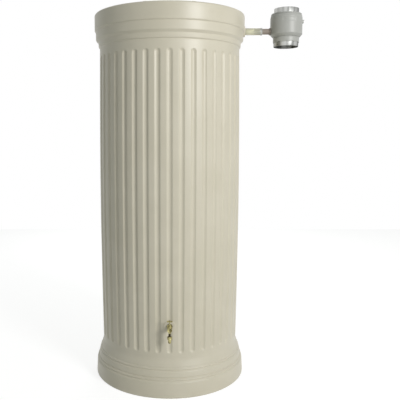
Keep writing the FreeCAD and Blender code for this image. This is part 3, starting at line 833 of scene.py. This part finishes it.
@dataclass
class Cornice:
    """The stepped head of the barrel with its plain cap, and the pad for the hose."""

    bottom: float = 1905 * MM
    top: float = 2100 * MM
    neck_radius: float = 403 * MM
    shaft_wall: float = 12 * MM
    soffit_start: float = 1919 * MM
    soffit_end: float = 1924 * MM
    slope_start: float = 1949 * MM
    slope_end: float = 1962 * MM
    frieze_top: float = 2007 * MM
    cap_bottom: float = 2013 * MM
    fillet_radius: float = 409.5 * MM
    fillet_flare: float = 2 * MM
    frieze_radius: float = 424.6 * MM
    cap_radius: float = 431.2 * MM
    cap_round: float = 9 * MM
    rim_width: float = 38.2 * MM
    pad_face: float = 436 * MM
    ledge_width: float = 16 * MM
    deck_top: float = 2072 * MM
    deck_thickness: float = 6 * MM
    deck_hole: float = 128.8 * MM
    wall: float = 8 * MM
    deck_rings: tuple[float, float] = (326 * MM, 174 * MM)
    ring_slope: float = 4 * MM
    deck_fall: float = 1.5 * MM
    lug_turn: float = 18.0
    lug_half: float = 11 * MM
    lug_inset: float = 2 * MM
    lug_depth: float = 11 * MM
    lug_root: float = 4 * MM
    lug_rise: float = 5.5 * MM
    pad_radius: float = 31 * MM
    pad_bore: float = 25 * MM
    pad_sunk: float = 20 * MM
    inlet_height: float = 2021 * MM
    steps: int = 192

    def build(self) -> None:
        """Make the drum, the deck inside its rim, the lugs and the hose's pad."""
        seat = self.deck_top - self.deck_thickness
        inner = self.neck_radius - self.shaft_wall
        rim = self.cap_radius - self.rim_width
        half = self.wall / 2
        Form().turn([
            Corner(inner, self.bottom),
            Corner(self.neck_radius, self.bottom),
            Corner(self.neck_radius, self.soffit_start, 2 * MM),
            Corner(self.fillet_radius, self.soffit_end, 2.5 * MM),
            Corner(self.fillet_radius + self.fillet_flare, self.slope_start, 2.5 * MM),
            Corner(self.frieze_radius, self.slope_end, 2.5 * MM),
            Corner(self.frieze_radius, self.frieze_top, 1.2 * MM),
            Corner(self.cap_radius, self.cap_bottom, 2.5 * MM),
            Corner(self.cap_radius, self.top, self.cap_round),
            Corner(rim, self.top, 4 * MM),
            Corner(rim, seat),
            Corner(rim - self.ledge_width, seat),
            Corner(rim - self.ledge_width, seat - self.wall),
            Corner(self.cap_radius - self.wall, self.cap_bottom + 2 * self.wall),
            Corner(self.cap_radius - self.wall, self.cap_bottom + self.wall),
            Corner(self.frieze_radius - self.wall, self.frieze_top + half),
            Corner(self.frieze_radius - self.wall, self.slope_end + half),
            Corner(self.fillet_radius - self.wall, self.slope_start + half),
            Corner(self.fillet_radius - self.wall, self.soffit_end + half),
            Corner(inner, self.soffit_start),
        ], self.steps, 6).piece("cornice", Finish.BARREL, [f"cornice_{side}" for side in SIDES])
        self.build_deck(seat)
        self.build_lugs(rim)
        self.build_pad()

    def build_deck(self, seat: float) -> None:
        """Make the deck, sunk a little between its two rings.

        Args:
            seat: The height of its underside.
        """
        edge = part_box("top_deck")[1].x
        sunk = self.deck_top - self.deck_fall
        outer, inner = self.deck_rings
        Form().turn([
            Corner(self.deck_hole, seat), Corner(edge, seat),
            Corner(edge, self.deck_top, 1 * MM),
            Corner(outer + self.ring_slope, self.deck_top, 2 * MM),
            Corner(outer, sunk, 2 * MM),
            Corner(inner, sunk, 2 * MM),
            Corner(inner - self.ring_slope, self.deck_top, 2 * MM),
            Corner(self.deck_hole, self.deck_top),
        ], self.steps, 2).piece("deck", Finish.BARREL, ["top_deck"])

    def build_lugs(self, rim: float) -> None:
        """Make the four small lugs on the rim.

        Args:
            rim: The rim's inner radius.
        """
        lugs, inner = Form(), rim + self.lug_inset
        low = Vector((inner, -self.lug_half, self.top - self.lug_root))
        high = Vector((inner + self.lug_depth, self.lug_half, self.top + self.lug_rise))
        for side in (90, 270):
            for step in (-1, 1):
                turn = Matrix.Rotation(math.radians(side + self.lug_turn * step), 4, "Z")
                lugs.take(Form().block(low, high, 1.5 * MM).shift(turn).bm)
        lugs.piece("rim_lug_set", Finish.BARREL, ["rim_lugs"])

    def build_pad(self) -> None:
        """Make the round pad that the hose goes in through."""
        pad = Form().ring(self.pad_bore, self.pad_radius, (-self.pad_sunk, 0),
                          (0, 0, 1.5 * MM, 0), 72)
        pad.shift(Matrix.Translation((self.pad_face, 0, self.inlet_height)) @ TO_RIGHT)
        pad.piece("inlet_pad", Finish.BARREL)


@dataclass
class Filler:
    """The filler neck on the deck and its screw lid."""

    deck_top: float = 2072 * MM
    bore_radius: float = 122 * MM
    wall: float = 6 * MM
    rise: float = 28 * MM
    flange: float = 22 * MM
    flange_thickness: float = 4 * MM
    deck_thickness: float = 6 * MM
    lid_gap: float = 0.8 * MM
    lid_radius: float = 137.8 * MM
    lid_top: float = 2107 * MM
    lid_bottom: float = 2080 * MM
    lid_rings: tuple[float, float] = (109 * MM, 34 * MM)
    ring_slope: float = 3 * MM
    ring_drop: float = 2 * MM
    grips: int = 18
    grip_depth: float = 3.6 * MM
    grip_reach: float = 5 * MM

    def build(self) -> None:
        """Make the neck and the lid."""
        outer = self.bore_radius + self.wall
        base = self.deck_top - self.deck_thickness
        flange_top = self.deck_top + self.flange_thickness
        Form().turn([
            Corner(self.bore_radius, base),
            Corner(outer, base),
            Corner(outer, self.deck_top),
            Corner(outer + self.flange, self.deck_top),
            Corner(outer + self.flange, flange_top, 1.5 * MM),
            Corner(outer, flange_top, 1.5 * MM),
            Corner(outer, self.deck_top + self.rise, 1 * MM),
            Corner(self.bore_radius, self.deck_top + self.rise, 1 * MM),
        ], 120, 3).piece("filler_neck", Finish.BARREL, ["filler_collar"])
        self.lid_form(outer + self.lid_gap).piece("screw_lid", Finish.BARREL,
                                                  ["filler_lid"], crease=50)

    def lid_form(self, inner: float) -> Form:
        """Make the lid with finger grips round it and a sunk ring on top.

        Args:
            inner: The inner radius of its skirt.

        Returns:
            The lid's form.
        """
        seat, sunk = self.deck_top + self.rise, self.lid_top - self.ring_drop
        outer_ring, inner_ring = self.lid_rings
        lid = Form().turn([
            Corner(0, seat), Corner(inner, seat), Corner(inner, self.lid_bottom),
            Corner(self.lid_radius, self.lid_bottom, 1 * MM),
            Corner(self.lid_radius, self.lid_top, 4 * MM),
            Corner(outer_ring + self.ring_slope, self.lid_top, 1.5 * MM),
            Corner(outer_ring, sunk, 1.5 * MM),
            Corner(inner_ring, sunk, 1.5 * MM),
            Corner(inner_ring - self.ring_slope, self.lid_top, 1.5 * MM),
            Corner(0, self.lid_top),
        ], 360, 4)
        return lid.mould(self.grip)

    def grip(self, spot: Vector) -> Vector:
        """Press the finger grips into the lid's skirt.

        Args:
            spot: A vertex of the lid.

        Returns:
            Its new place.
        """
        radius = math.hypot(spot.x, spot.y)
        if radius < self.lid_radius - self.grip_reach:
            return spot
        wave = max(math.cos(math.atan2(spot.y, spot.x) * self.grips), 0) ** 2
        share = 1 - self.grip_depth * wave / radius
        return Vector((spot.x * share, spot.y * share, spot.z))


@dataclass
class Tap:
    """The brass tap from the nut inside the wall to the tail under its spout."""

    height: float = 396 * MM
    reach: float = 58 * MM
    wall_radius: float = 405.64 * MM
    pad_proud: float = 5 * MM
    pad_depth: float = 22 * MM
    washer: float = 3 * MM
    washer_radius: float = 16 * MM
    washer_bore: float = 13.6 * MM
    nut_length: float = 9 * MM
    nut_radius: float = 21 * MM
    shank_tail: float = 3 * MM
    boss_radius: float = 14 * MM
    boss_end: float = 12 * MM
    neck_start: float = 18 * MM
    neck_radius: float = 10 * MM
    shank_radius: float = 13 * MM
    collar_radius: float = 17 * MM
    collar_length: float = 8.6 * MM
    chamber_radius: float = 13 * MM
    chamber_half: float = 14 * MM
    recess_radius: float = 7 * MM
    recess_depth: float = 3 * MM
    top_radius: float = 9.5 * MM
    top: float = 15 * MM
    spout_radius: float = 10 * MM
    spout_neck_radius: float = 6.5 * MM
    spout_bottom: float = -46 * MM
    spindle_radius: float = 3 * MM
    spindle_top: float = 51 * MM
    spindle_foot: float = 2.1 * MM
    bonnet: float = 6 * MM
    bonnet_radius: float = 8.5 * MM
    gland: float = 5 * MM
    gland_radius: float = 6.8 * MM
    hub: float = 10 * MM
    bar_half: float = 15.5 * MM
    knob_radius: float = 4.6 * MM
    tail_radius: float = 8.6 * MM
    tail_bore: float = 5.4 * MM
    tail_length: float = 28 * MM
    tail_tip: float = 6.5 * MM
    tail_root: float = 7.5 * MM
    barb_pitch: float = 7 * MM
    barbs: int = 2
    tail_fit: float = 0.3 * MM
    flange_thickness: float = 3 * MM
    union_floor: float = 3 * MM
    union_play: float = 0.15 * MM
    union_rim: float = 13.8 * MM
    union_waist: float = 12.9 * MM
    union_length: float = 14 * MM
    rim_width: float = 3.4 * MM
    rim_slope: float = 1.4 * MM
    knurl_from: float = 13.2 * MM
    knurls: int = 24
    knurl_share: float = 0.025

    @property
    def face(self) -> float:
        """Return how far in front of the axis the pad's face is."""
        return self.wall_radius + self.pad_proud

    @property
    def axis(self) -> Matrix:
        """Return the move from the origin to the spindle's axis at tap height."""
        return Matrix.Translation((0, -(self.wall_radius + self.reach), self.height))

    def along(self, offset: float) -> Matrix:
        """Return the turn and move of a piece on the inlet axis.

        Args:
            offset: How far the piece starts in front of the pad.

        Returns:
            The matrix that lays its +Z along -Y.
        """
        return Matrix.Translation((0, -(self.face + offset), self.height)) @ TO_FRONT

    def build(self) -> None:
        """Make the tap's pieces."""
        self.build_body()
        self.build_seals()
        self.build_head()
        self.build_handle()
        self.build_outlet()

    def build_body(self) -> None:
        """Make the casting: shank, neck, valve chamber and spout, and its collar."""
        back = self.pad_depth + self.nut_length + self.shank_tail
        middle = self.reach - self.pad_proud
        near, far = middle - self.chamber_half, middle + self.chamber_half
        casting = Form().turn([
            Corner(0, -back), Corner(self.shank_radius, -back, 1 * MM),
            Corner(self.shank_radius, 4 * MM), Corner(0, 4 * MM)], 64)
        casting.turn([
            Corner(0, 2 * MM), Corner(self.boss_radius, 2 * MM),
            Corner(self.boss_radius, self.boss_end, 2 * MM),
            Corner(self.neck_radius, self.neck_start, 4 * MM),
            Corner(self.neck_radius, near - 3 * MM, 2 * MM),
            Corner(self.chamber_radius, near, 2 * MM),
            Corner(self.chamber_radius, far, 1.2 * MM),
            Corner(self.recess_radius + 2 * MM, far, 1 * MM),
            Corner(self.recess_radius, far - self.recess_depth, 1 * MM),
            Corner(0, far - self.recess_depth)], 64)
        casting.shift(self.along(0))
        spout = Form().turn([
            Corner(0, self.spout_bottom), Corner(self.spout_radius, self.spout_bottom),
            Corner(self.spout_radius, self.spout_bottom + 8 * MM, 0.8 * MM),
            Corner(self.spout_neck_radius, self.spout_bottom + 12 * MM, 1.5 * MM),
            Corner(self.spout_neck_radius, 0),
            Corner(self.top_radius, 0),
            Corner(self.top_radius, self.top, 0.8 * MM),
            Corner(0, self.top)], 64, 6)
        casting.take(spout.shift(self.axis).bm)
        body = casting.piece("tap_casting", Finish.BRASS, ["tap_body"])
        remeshed(body, 0.6 * MM, 4)
        collar = Form().prism(6, self.collar_radius, self.washer,
                              self.washer + self.collar_length, 0.8 * MM)
        collar.shift(self.along(0)).piece("tap_collar", Finish.BRASS, crease=25)

    def build_seals(self) -> None:
        """Make the washer outside the wall and the lock nut inside it."""
        washer = Form().ring(self.washer_bore, self.washer_radius, (0, self.washer),
                             (0, 0.8 * MM, 0.8 * MM, 0), 64)
        washer.shift(self.along(0)).piece("outer_washer", Finish.RUBBER, ["tap_washer"])
        low = -self.pad_depth - self.nut_length
        nut = Form().prism(6, self.nut_radius, low, low + self.nut_length, 0.8 * MM)
        nut.shift(self.along(0)).piece("lock_nut", Finish.BRASS, ["tap_lock_nut"], crease=25)

    def build_head(self) -> None:
        """Make the bonnet, the gland nut and the spindle."""
        gland_base = self.top + self.bonnet
        bonnet = Form().prism(6, self.bonnet_radius, self.top, gland_base, 0.6 * MM)
        bonnet.shift(self.axis).piece("bonnet", Finish.BRASS, ["tap_bonnet"], crease=25)
        gland = Form().prism(6, self.gland_radius, gland_base, gland_base + self.gland,
                             0.5 * MM)
        gland.shift(self.axis).piece("gland_nut", Finish.BRASS, ["tap_gland_nut"], crease=25)
        low = self.top + self.spindle_foot
        spindle = Form().turn([
            Corner(0, low), Corner(self.spindle_radius, low),
            Corner(self.spindle_radius, self.spindle_top, 0.6 * MM),
            Corner(0, self.spindle_top)], 48, 3)
        spindle.shift(self.axis).piece("spindle", Finish.BRASS, ["tap_spindle"], TURNING_BODY)

    def build_handle(self) -> None:
        """Make the cast T-handle with its hub and knobbed cross bar."""
        base = self.spindle_top - self.hub
        middle = base + self.hub / 2
        handle = Form().turn([
            Corner(0, base), Corner(5.6 * MM, base, 0.8 * MM), Corner(4.6 * MM, middle),
            Corner(5.8 * MM, base + 8 * MM), Corner(5 * MM, base + self.hub, 1.6 * MM),
            Corner(0, base + self.hub)], 48, 4)
        knob = self.bar_half - self.knob_radius
        bar = Form().turn([
            Corner(0, -knob), Corner(3.1 * MM, -knob), Corner(2.4 * MM, -knob / 2, 3 * MM),
            Corner(3.4 * MM, 0, 2 * MM), Corner(2.4 * MM, knob / 2, 3 * MM),
            Corner(3.1 * MM, knob), Corner(0, knob)], 48, 4).shift(TO_RIGHT)
        for side in (-1, 1):
            bar.ball(self.knob_radius, Vector((side * knob, 0, 0)))
        handle.take(bar.shift(Matrix.Translation((0, 0, middle))).bm)
        piece = handle.shift(self.axis).piece("t_handle", Finish.BRASS,
                                              ["tap_handle"], TURNING_BODY)
        remeshed(piece, 0.4 * MM, 3)

    def build_outlet(self) -> None:
        """Make the knurled union nut and the barbed hose tail."""
        seat = self.spout_bottom - self.flange_thickness
        low, top = seat - self.union_floor, seat - self.union_floor + self.union_length
        hole, thread = self.tail_radius + self.union_play, self.spout_radius + self.union_play
        low_rim, high_rim = low + self.rim_width, top - self.rim_width
        nut = Form().turn([
            Corner(hole, low), Corner(self.union_rim, low, 1.2 * MM),
            Corner(self.union_rim, low_rim, 1.2 * MM),
            Corner(self.union_waist, low_rim + self.rim_slope, 1 * MM),
            Corner(self.union_waist, high_rim - self.rim_slope, 1 * MM),
            Corner(self.union_rim, high_rim, 1 * MM),
            Corner(self.union_rim, top, 1.2 * MM), Corner(thread, top),
            Corner(thread, seat), Corner(hole, seat)], 144, 3)
        nut.mould(self.knurl).shift(self.axis)
        nut.piece("union_nut", Finish.BRASS, ["tap_union_nut"], crease=40)
        tip = self.spout_bottom - self.tail_length
        shoulder, fit = tip + self.barbs * self.barb_pitch, self.tail_radius - self.tail_fit
        barbs = [Corner(self.tail_bore, tip, 0.5 * MM), Corner(self.tail_tip, tip, 0.4 * MM)]
        for ring in range(self.barbs):
            crest = tip + self.barb_pitch * (ring + 0.7)
            barbs += [Corner(self.tail_radius, crest, 0.3 * MM),
                      Corner(self.tail_root, crest + 0.2 * MM)]
        barbs += [Corner(self.tail_root, shoulder), Corner(self.tail_radius, shoulder),
                  Corner(self.tail_radius, low), Corner(fit, low),
                  Corner(fit, seat), Corner(self.spout_radius, seat),
                  Corner(self.spout_radius, self.spout_bottom),
                  Corner(self.tail_bore, self.spout_bottom)]
        tail = Form().turn(barbs, 64, 2).shift(self.axis)
        tail.piece("hose_tail", Finish.BRASS, ["tap_hose_tail"], crease=30)

    def knurl(self, spot: Vector) -> Vector:
        """Press fine grips into the union nut's two rims.

        Args:
            spot: A vertex of the nut.

        Returns:
            Its new place.
        """
        radius = math.hypot(spot.x, spot.y)
        if radius < self.knurl_from:
            return spot
        wave = 0.5 + 0.5 * math.cos(math.atan2(spot.y, spot.x) * self.knurls)
        share = 1 - self.knurl_share * wave
        return Vector((spot.x * share, spot.y * share, spot.z))


@dataclass
class Hose:
    """The short hose from the cornice to the diverter, its grommet and its clip."""

    height: float = 2021 * MM
    radius: float = 19.7 * MM
    wall: float = 3 * MM
    start: float = 406 * MM
    end: float = 537 * MM
    fit: float = 0.1 * MM
    grommet_start: float = 417 * MM
    grommet_length: float = 19 * MM
    grommet_radius: float = 24.6 * MM
    clip_start: float = 525.5 * MM
    clip_width: float = 9 * MM
    clip_radius: float = 21 * MM
    clip_roll: float = 1.4 * MM
    clip_edge: float = 21.5 * MM
    housing_back: float = 20.4 * MM
    housing_depth: float = 5.6 * MM
    housing_span: tuple[float, float] = (-7 * MM, 5 * MM)
    screw_radius: float = 3.2 * MM
    screw_span: tuple[float, float] = (4 * MM, 7 * MM)

    def along(self, start: float) -> Matrix:
        """Return the turn and move of a piece on the hose's axis."""
        return Matrix.Translation((start, 0, self.height)) @ TO_RIGHT

    def build(self) -> None:
        """Make the grommet, the hose and the clip."""
        tube = Form().ring(self.radius - self.wall, self.radius, (0, self.end - self.start),
                           (0.6 * MM, 0.6 * MM, 0.8 * MM, 0.6 * MM))
        tube.shift(self.along(self.start)).piece("hose_tube", Finish.HOSE, ["connecting_hose"])
        grommet = Form().ring(self.radius + self.fit, self.grommet_radius,
                              (0, self.grommet_length), (0, 0, 0.8 * MM, 0.8 * MM))
        grommet.shift(self.along(self.grommet_start)).piece(
            "grommet", Finish.RUBBER, ["inlet_grommet"])
        self.build_clip()

    def build_clip(self) -> None:
        """Make the band with rolled edges, and its worm screw in a housing."""
        width, bore = self.clip_width, self.radius + self.fit
        clip = Form().turn([
            Corner(bore, 0), Corner(self.clip_edge, 0, 0.5 * MM),
            Corner(self.clip_radius, self.clip_roll, 0.5 * MM),
            Corner(self.clip_radius, width - self.clip_roll, 0.5 * MM),
            Corner(self.clip_edge, width, 0.5 * MM),
            Corner(bore, width)], 96, 2).shift(self.along(self.clip_start))
        middle, back = self.clip_start + width / 2, self.housing_back
        below, above = self.housing_span
        clip.block(Vector((middle - 4 * MM, back, self.height + below)),
                   Vector((middle + 4 * MM, back + self.housing_depth, self.height + above)),
                   1.2 * MM)
        screw = Form().prism(6, self.screw_radius, *self.screw_span, 0.4 * MM)
        screw.shift(Matrix.Translation((middle, back + self.screw_radius, self.height)))
        clip.take(screw.bm)
        clip.piece("worm_clip", Finish.STEEL, ["hose_clip"], crease=30)


@dataclass
class Diverter:
    """The downpipe diverter with its spigot, catch, sleeve and two pipe stubs."""

    offset: float = 676 * MM
    pipe_radius: float = 71 * MM
    pipe_wall: float = 2 * MM
    pipe_gap: float = 0.5 * MM
    radius: float = 91.7 * MM
    wall: float = 4 * MM
    mouth: float = 78 * MM
    mouth_inside: float = 76 * MM
    top_radius: float = 88 * MM
    bottom: float = 1988 * MM
    chamfer_top: float = 2003 * MM
    shoulder: float = 2093 * MM
    top: float = 2112 * MM
    sleeve_bottom: float = 1956 * MM
    spigot_height: float = 2021 * MM
    housing_rows: int = 45
    lip_inset: float = 1 * MM
    lip_draft: float = 0.4 * MM
    lip_rise: float = 7 * MM
    lip_inner: float = 74 * MM
    lip_inner_rise: float = 4.5 * MM
    sleeve_wall: float = 3 * MM
    hem: float = 7 * MM
    bead_inset: float = 1.1 * MM
    catch_root: float = 1 * MM
    catch_hook: float = 4 * MM
    rib_place: float = 12 * MM
    rib_half: float = 1.5 * MM
    spigot_start: float = 491 * MM
    spigot_length: float = 101 * MM
    spigot_bore: float = 13 * MM
    spigot_tip: float = 14.6 * MM
    spigot_crest: float = 16.5 * MM
    spigot_root: float = 15.6 * MM
    spigot_radius: float = 16.4 * MM
    rib_pitch: float = 14 * MM
    ribbed_length: float = 46 * MM
    flange_bore: float = 16.45 * MM
    flange_radius: float = 20.4 * MM
    panel_low: float = 2068 * MM
    panel_high: float = 2088 * MM
    panel_half: float = 0.42
    panel_depth: float = 1.4 * MM
    panel_edge: float = 2 * MM
    scallops: int = 12
    scallop_depth: float = 4 * MM

    @property
    def axis(self) -> Matrix:
        """Return the move to the downpipe's axis."""
        return Matrix.Translation((self.offset, 0, 0))

    @property
    def seat(self) -> float:
        """Return the radius that fits round the pipe."""
        return self.pipe_radius + self.pipe_gap

    def build(self) -> None:
        """Make the diverter's pieces."""
        self.build_housing()
        self.build_lip()
        self.build_sleeve()
        self.build_catch()
        self.build_spigot()
        self.build_pipe("upper_pipe", "upper_pipe_stub")
        self.build_pipe("lower_pipe", "lower_pipe_stub")

    def build_housing(self) -> None:
        """Make the hollow housing with the sunk panel on its front."""
        inner, wall, rows = self.seat, self.wall, self.housing_rows
        rise = (self.shoulder - self.chamfer_top) / rows
        side = [Corner(self.radius, self.chamfer_top + rise * step) for step in range(1, rows)]
        housing = Form().turn([
            Corner(inner, self.bottom), Corner(self.mouth, self.bottom, 2 * MM),
            Corner(self.radius, self.chamfer_top, 3 * MM), *side,
            Corner(self.radius, self.shoulder, 2 * MM),
            Corner(self.top_radius, self.top, 3 * MM),
            Corner(inner, self.top), Corner(inner, self.top - wall),
            Corner(self.top_radius - wall, self.top - wall),
            Corner(self.radius - wall, self.shoulder),
            Corner(self.radius - wall, self.chamfer_top + wall / 2),
            Corner(self.mouth_inside, self.bottom + wall), Corner(inner, self.bottom + wall),
        ], 288, 4)
        housing.mould(self.panel).shift(self.axis)
        housing.piece("housing", Finish.DIVERTER, ["diverter_body"], crease=40)

    def panel(self, spot: Vector) -> Vector:
        """Sink the panel into the front of the housing.

        Args:
            spot: A vertex of the housing.

        Returns:
            Its new place.
        """
        radius = math.hypot(spot.x, spot.y)
        if radius < self.radius - 1 * MM:
            return spot
        turn = abs(math.atan2(spot.x, -spot.y))
        inside = min((self.panel_half - turn) * self.radius, spot.z - self.panel_low,
                     self.panel_high - spot.z)
        share = min(max(inside / self.panel_edge, 0), 1)
        shrink = 1 - self.panel_depth * share * share * (3 - 2 * share) / radius
        return Vector((spot.x * shrink, spot.y * shrink, spot.z))

    def build_lip(self) -> None:
        """Make the ring that closes the top of the housing."""
        outer, rim = self.top_radius - self.lip_inset, self.top + self.lip_rise
        Form().turn([
            Corner(self.seat, self.top), Corner(outer, self.top, 1 * MM),
            Corner(outer - self.lip_draft, rim, 3.4 * MM), Corner(self.lip_inner, rim, 1 * MM),
            Corner(self.seat, self.top + self.lip_inner_rise, 1 * MM),
        ], 144, 4).shift(self.axis).piece("top_lip", Finish.DIVERTER, ["diverter_lip"])

    def build_sleeve(self) -> None:
        """Make the lower sleeve with its scalloped hem and a bead under the housing."""
        outer, hem = self.seat + self.sleeve_wall, self.sleeve_bottom + self.hem
        sleeve = Form().turn([
            Corner(self.seat, self.sleeve_bottom), Corner(outer, self.sleeve_bottom, 0.8 * MM),
            Corner(outer, hem),
            Corner(outer, self.bottom - 5 * MM, 1 * MM),
            Corner(outer - self.bead_inset, self.bottom - 3.5 * MM, 1 * MM),
            Corner(outer - self.bead_inset, self.bottom), Corner(self.seat, self.bottom),
            Corner(self.seat, hem)], 288, 3)
        sleeve.mould(self.scallop).shift(self.axis)
        sleeve.piece("sleeve", Finish.DIVERTER, ["diverter_sleeve"])

    def scallop(self, spot: Vector) -> Vector:
        """Raise the hem between its lobes.

        Args:
            spot: A vertex of the sleeve.

        Returns:
            Its new place.
        """
        if spot.z > self.sleeve_bottom + self.hem - 1 * MM:
            return spot
        wave = abs(math.cos(math.atan2(spot.y, spot.x) * self.scallops / 2)) ** 1.6
        return Vector((spot.x, spot.y, spot.z + self.scallop_depth * (1 - wave)))

    def build_catch(self) -> None:
        """Make the catch: a tongue with a hooked lip and two ribs."""
        low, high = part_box("diverter_catch")
        back, hook = low.x - self.catch_root, high.z - self.catch_hook
        catch = Form().block(Vector((back, low.y, low.z)),
                             Vector((high.x - 3 * MM, high.y, hook)), 1 * MM)
        catch.block(Vector((back, low.y, hook - 1 * MM)), high, 1 * MM)
        for side in (-1, 1):
            middle = side * self.rib_place
            catch.block(Vector((low.x, middle - self.rib_half, low.z - 0.5 * MM)),
                        Vector((high.x - 1.4 * MM, middle + self.rib_half, high.z - 3 * MM)),
                        0.6 * MM)
        catch.piece("catch", Finish.DIVERTER, ["diverter_catch"])

    def build_spigot(self) -> None:
        """Make the ribbed spigot inside the hose, and the nut against the housing."""
        place = Matrix.Translation((self.spigot_start, 0, self.spigot_height)) @ TO_RIGHT
        ribs = [Corner(self.spigot_bore, 0), Corner(self.spigot_tip, 0, 0.8 * MM)]
        for ring in range(3):
            edge = self.rib_pitch * (ring + 1)
            ribs += [Corner(self.spigot_crest, edge, 0.3 * MM),
                     Corner(self.spigot_root, edge + 0.5 * MM)]
        ribs += [Corner(self.spigot_root, self.ribbed_length),
                 Corner(self.spigot_radius, self.ribbed_length + 0.5 * MM),
                 Corner(self.spigot_radius, self.spigot_length),
                 Corner(self.spigot_bore, self.spigot_length)]
        Form().turn(ribs, 72, 2).shift(place).piece(
            "spigot", Finish.SPIGOT, ["diverter_spigot"], crease=30)
        low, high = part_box("spigot_nut")
        nut = Form().ring(self.flange_bore, self.flange_radius, (0, high.x - low.x),
                          (0, 0.8 * MM, 0.8 * MM, 0), 96, 2)
        nut.shift(Matrix.Translation((low.x, 0, self.spigot_height)) @ TO_RIGHT)
        nut.piece("flange_nut", Finish.SPIGOT, ["spigot_nut"])

    def build_pipe(self, name: str, node: str) -> None:
        """Make a stub of zinc pipe.

        Args:
            name: The piece's name.
            node: The node that it stands for.
        """
        low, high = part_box(node)
        pipe = Form().ring(self.pipe_radius - self.pipe_wall, self.pipe_radius,
                           (low.z, high.z), (0, 0.4 * MM, 0.4 * MM, 0), 144, 2)
        pipe.shift(self.axis)
        pipe.piece(name, Finish.ZINC, [node])


@dataclass(frozen=True)
class SoftBox:
    """A soft lamp by its place round the barrel, facing the barrel's middle."""

    name: str
    azimuth: float
    distance: float
    height: float
    span: tuple[float, float]
    power: float
    shines: bool = True
    aim_height: float = 1.1

    def hang(self) -> None:
        """Hang the lamp."""
        light = bpy.data.lights.new(self.name, "AREA")
        light.shape = "RECTANGLE"
        light.size, light.size_y = self.span
        light.energy = self.power
        lamp = bpy.data.objects.new(self.name, light)
        turn = math.radians(self.azimuth)
        lamp.location = (self.distance * math.sin(turn), -self.distance * math.cos(turn),
                         self.height)
        aim = Vector((0, 0, self.aim_height)) - lamp.location
        lamp.rotation_euler = aim.to_track_quat("-Z", "Y").to_euler()
        lamp.visible_glossy = self.shines
        bpy.context.scene.collection.objects.link(lamp)


@dataclass
class Studio:
    """The plain floor, the soft lights and the camera."""

    camera_place: tuple[float, float, float] = (0.0, -3.333, 1.432)
    tilt_down: float = 6.75
    lens: float = 50.25
    shift: float = 0.0759
    ambient: float = 0.29
    tint: Colour = (0.93, 1.0, 0.97, 1.0)
    glow: float = 1.34
    glow_share: float = 0.6
    floor_half: float = 5.0
    lamps: tuple[SoftBox, ...] = (
        SoftBox("key", 37.0, 5.6, 3.1, (1.4, 1.7), 190.0),
        SoftBox("back", 178.0, 4.8, 3.0, (2.4, 2.4), 80.0, False),
    )

    def build(self) -> None:
        """Make the floor, the world, the lights and the camera."""
        self.build_floor()
        self.build_world()
        for lamp in self.lamps:
            lamp.hang()
        self.build_camera()

    def build_floor(self) -> None:
        """Make the floor: white to the camera apart from the object's shadow."""
        bm = bmesh.new()
        bmesh.ops.create_grid(bm, x_segments=1, y_segments=1, size=self.floor_half)
        mesh = bpy.data.meshes.new("floor")
        bm.to_mesh(mesh)
        bm.free()
        nodes = NodeTree("floor_paper")
        nodes.set(Base_Color=srgb(236, 236, 234), Roughness=0.9)
        glow = nodes.node("ShaderNodeEmission", None, {"Strength": self.glow})
        path = nodes.node("ShaderNodeLightPath")
        seen = sum(Value(nodes, path.outputs[ray]) for ray in SHOWN_RAYS) * self.glow_share
        mix = nodes.node("ShaderNodeMixShader", None, {
            0: seen, 1: nodes.shader.outputs[0], 2: glow.outputs[0]})
        nodes.join(mix.outputs[0], nodes.output.inputs["Surface"])
        mesh.materials.append(nodes.material)
        floor = bpy.data.objects.new("floor", mesh)
        bpy.context.scene.collection.objects.link(floor)

    def build_world(self) -> None:
        """Make the world: white to the camera, and a soft level of light."""
        world = bpy.data.worlds.new("studio")
        bpy.context.scene.world = world
        world.use_nodes = True
        tree = world.node_tree
        tree.nodes.clear()
        path = tree.nodes.new("ShaderNodeLightPath")
        light = tree.nodes.new("ShaderNodeBackground")
        white = tree.nodes.new("ShaderNodeBackground")
        light.inputs["Color"].default_value = self.tint
        light.inputs["Strength"].default_value = self.ambient
        white.inputs["Strength"].default_value = 1.0
        white.inputs["Color"].default_value = (1, 1, 1, 1)
        mix = tree.nodes.new("ShaderNodeMixShader")
        out = tree.nodes.new("ShaderNodeOutputWorld")
        seen = path.outputs[SHOWN_RAYS[0]]
        for ray in SHOWN_RAYS[1:]:
            either = tree.nodes.new("ShaderNodeMath")
            either.operation = "MAXIMUM"
            tree.links.new(seen, either.inputs[0])
            tree.links.new(path.outputs[ray], either.inputs[1])
            seen = either.outputs[0]
        tree.links.new(seen, mix.inputs[0])
        tree.links.new(light.outputs[0], mix.inputs[1])
        tree.links.new(white.outputs[0], mix.inputs[2])
        tree.links.new(mix.outputs[0], out.inputs["Surface"])

    def build_camera(self) -> None:
        """Make the camera and set the plain view transform."""
        data = bpy.data.cameras.new("camera")
        data.lens = self.lens
        data.sensor_width = 36.0
        data.shift_x = self.shift
        camera = bpy.data.objects.new("camera", data)
        camera.location = self.camera_place
        camera.rotation_euler = (math.radians(90 - self.tilt_down), 0, 0)
        bpy.context.scene.collection.objects.link(camera)
        bpy.context.scene.camera = camera
        bpy.context.scene.view_settings.view_transform = "Standard"


def main() -> None:
    """Build the studio and each sub-assembly in order."""
    logging.basicConfig(level=logging.INFO)
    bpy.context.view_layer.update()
    for maker in (Studio(), Plinth(), Shaft(), Cornice(), Filler(), Tap(), Hose(), Diverter()):
        LOG.info("building %s", type(maker).__name__)
        maker.build()


if __name__ == "__main__":
    main()
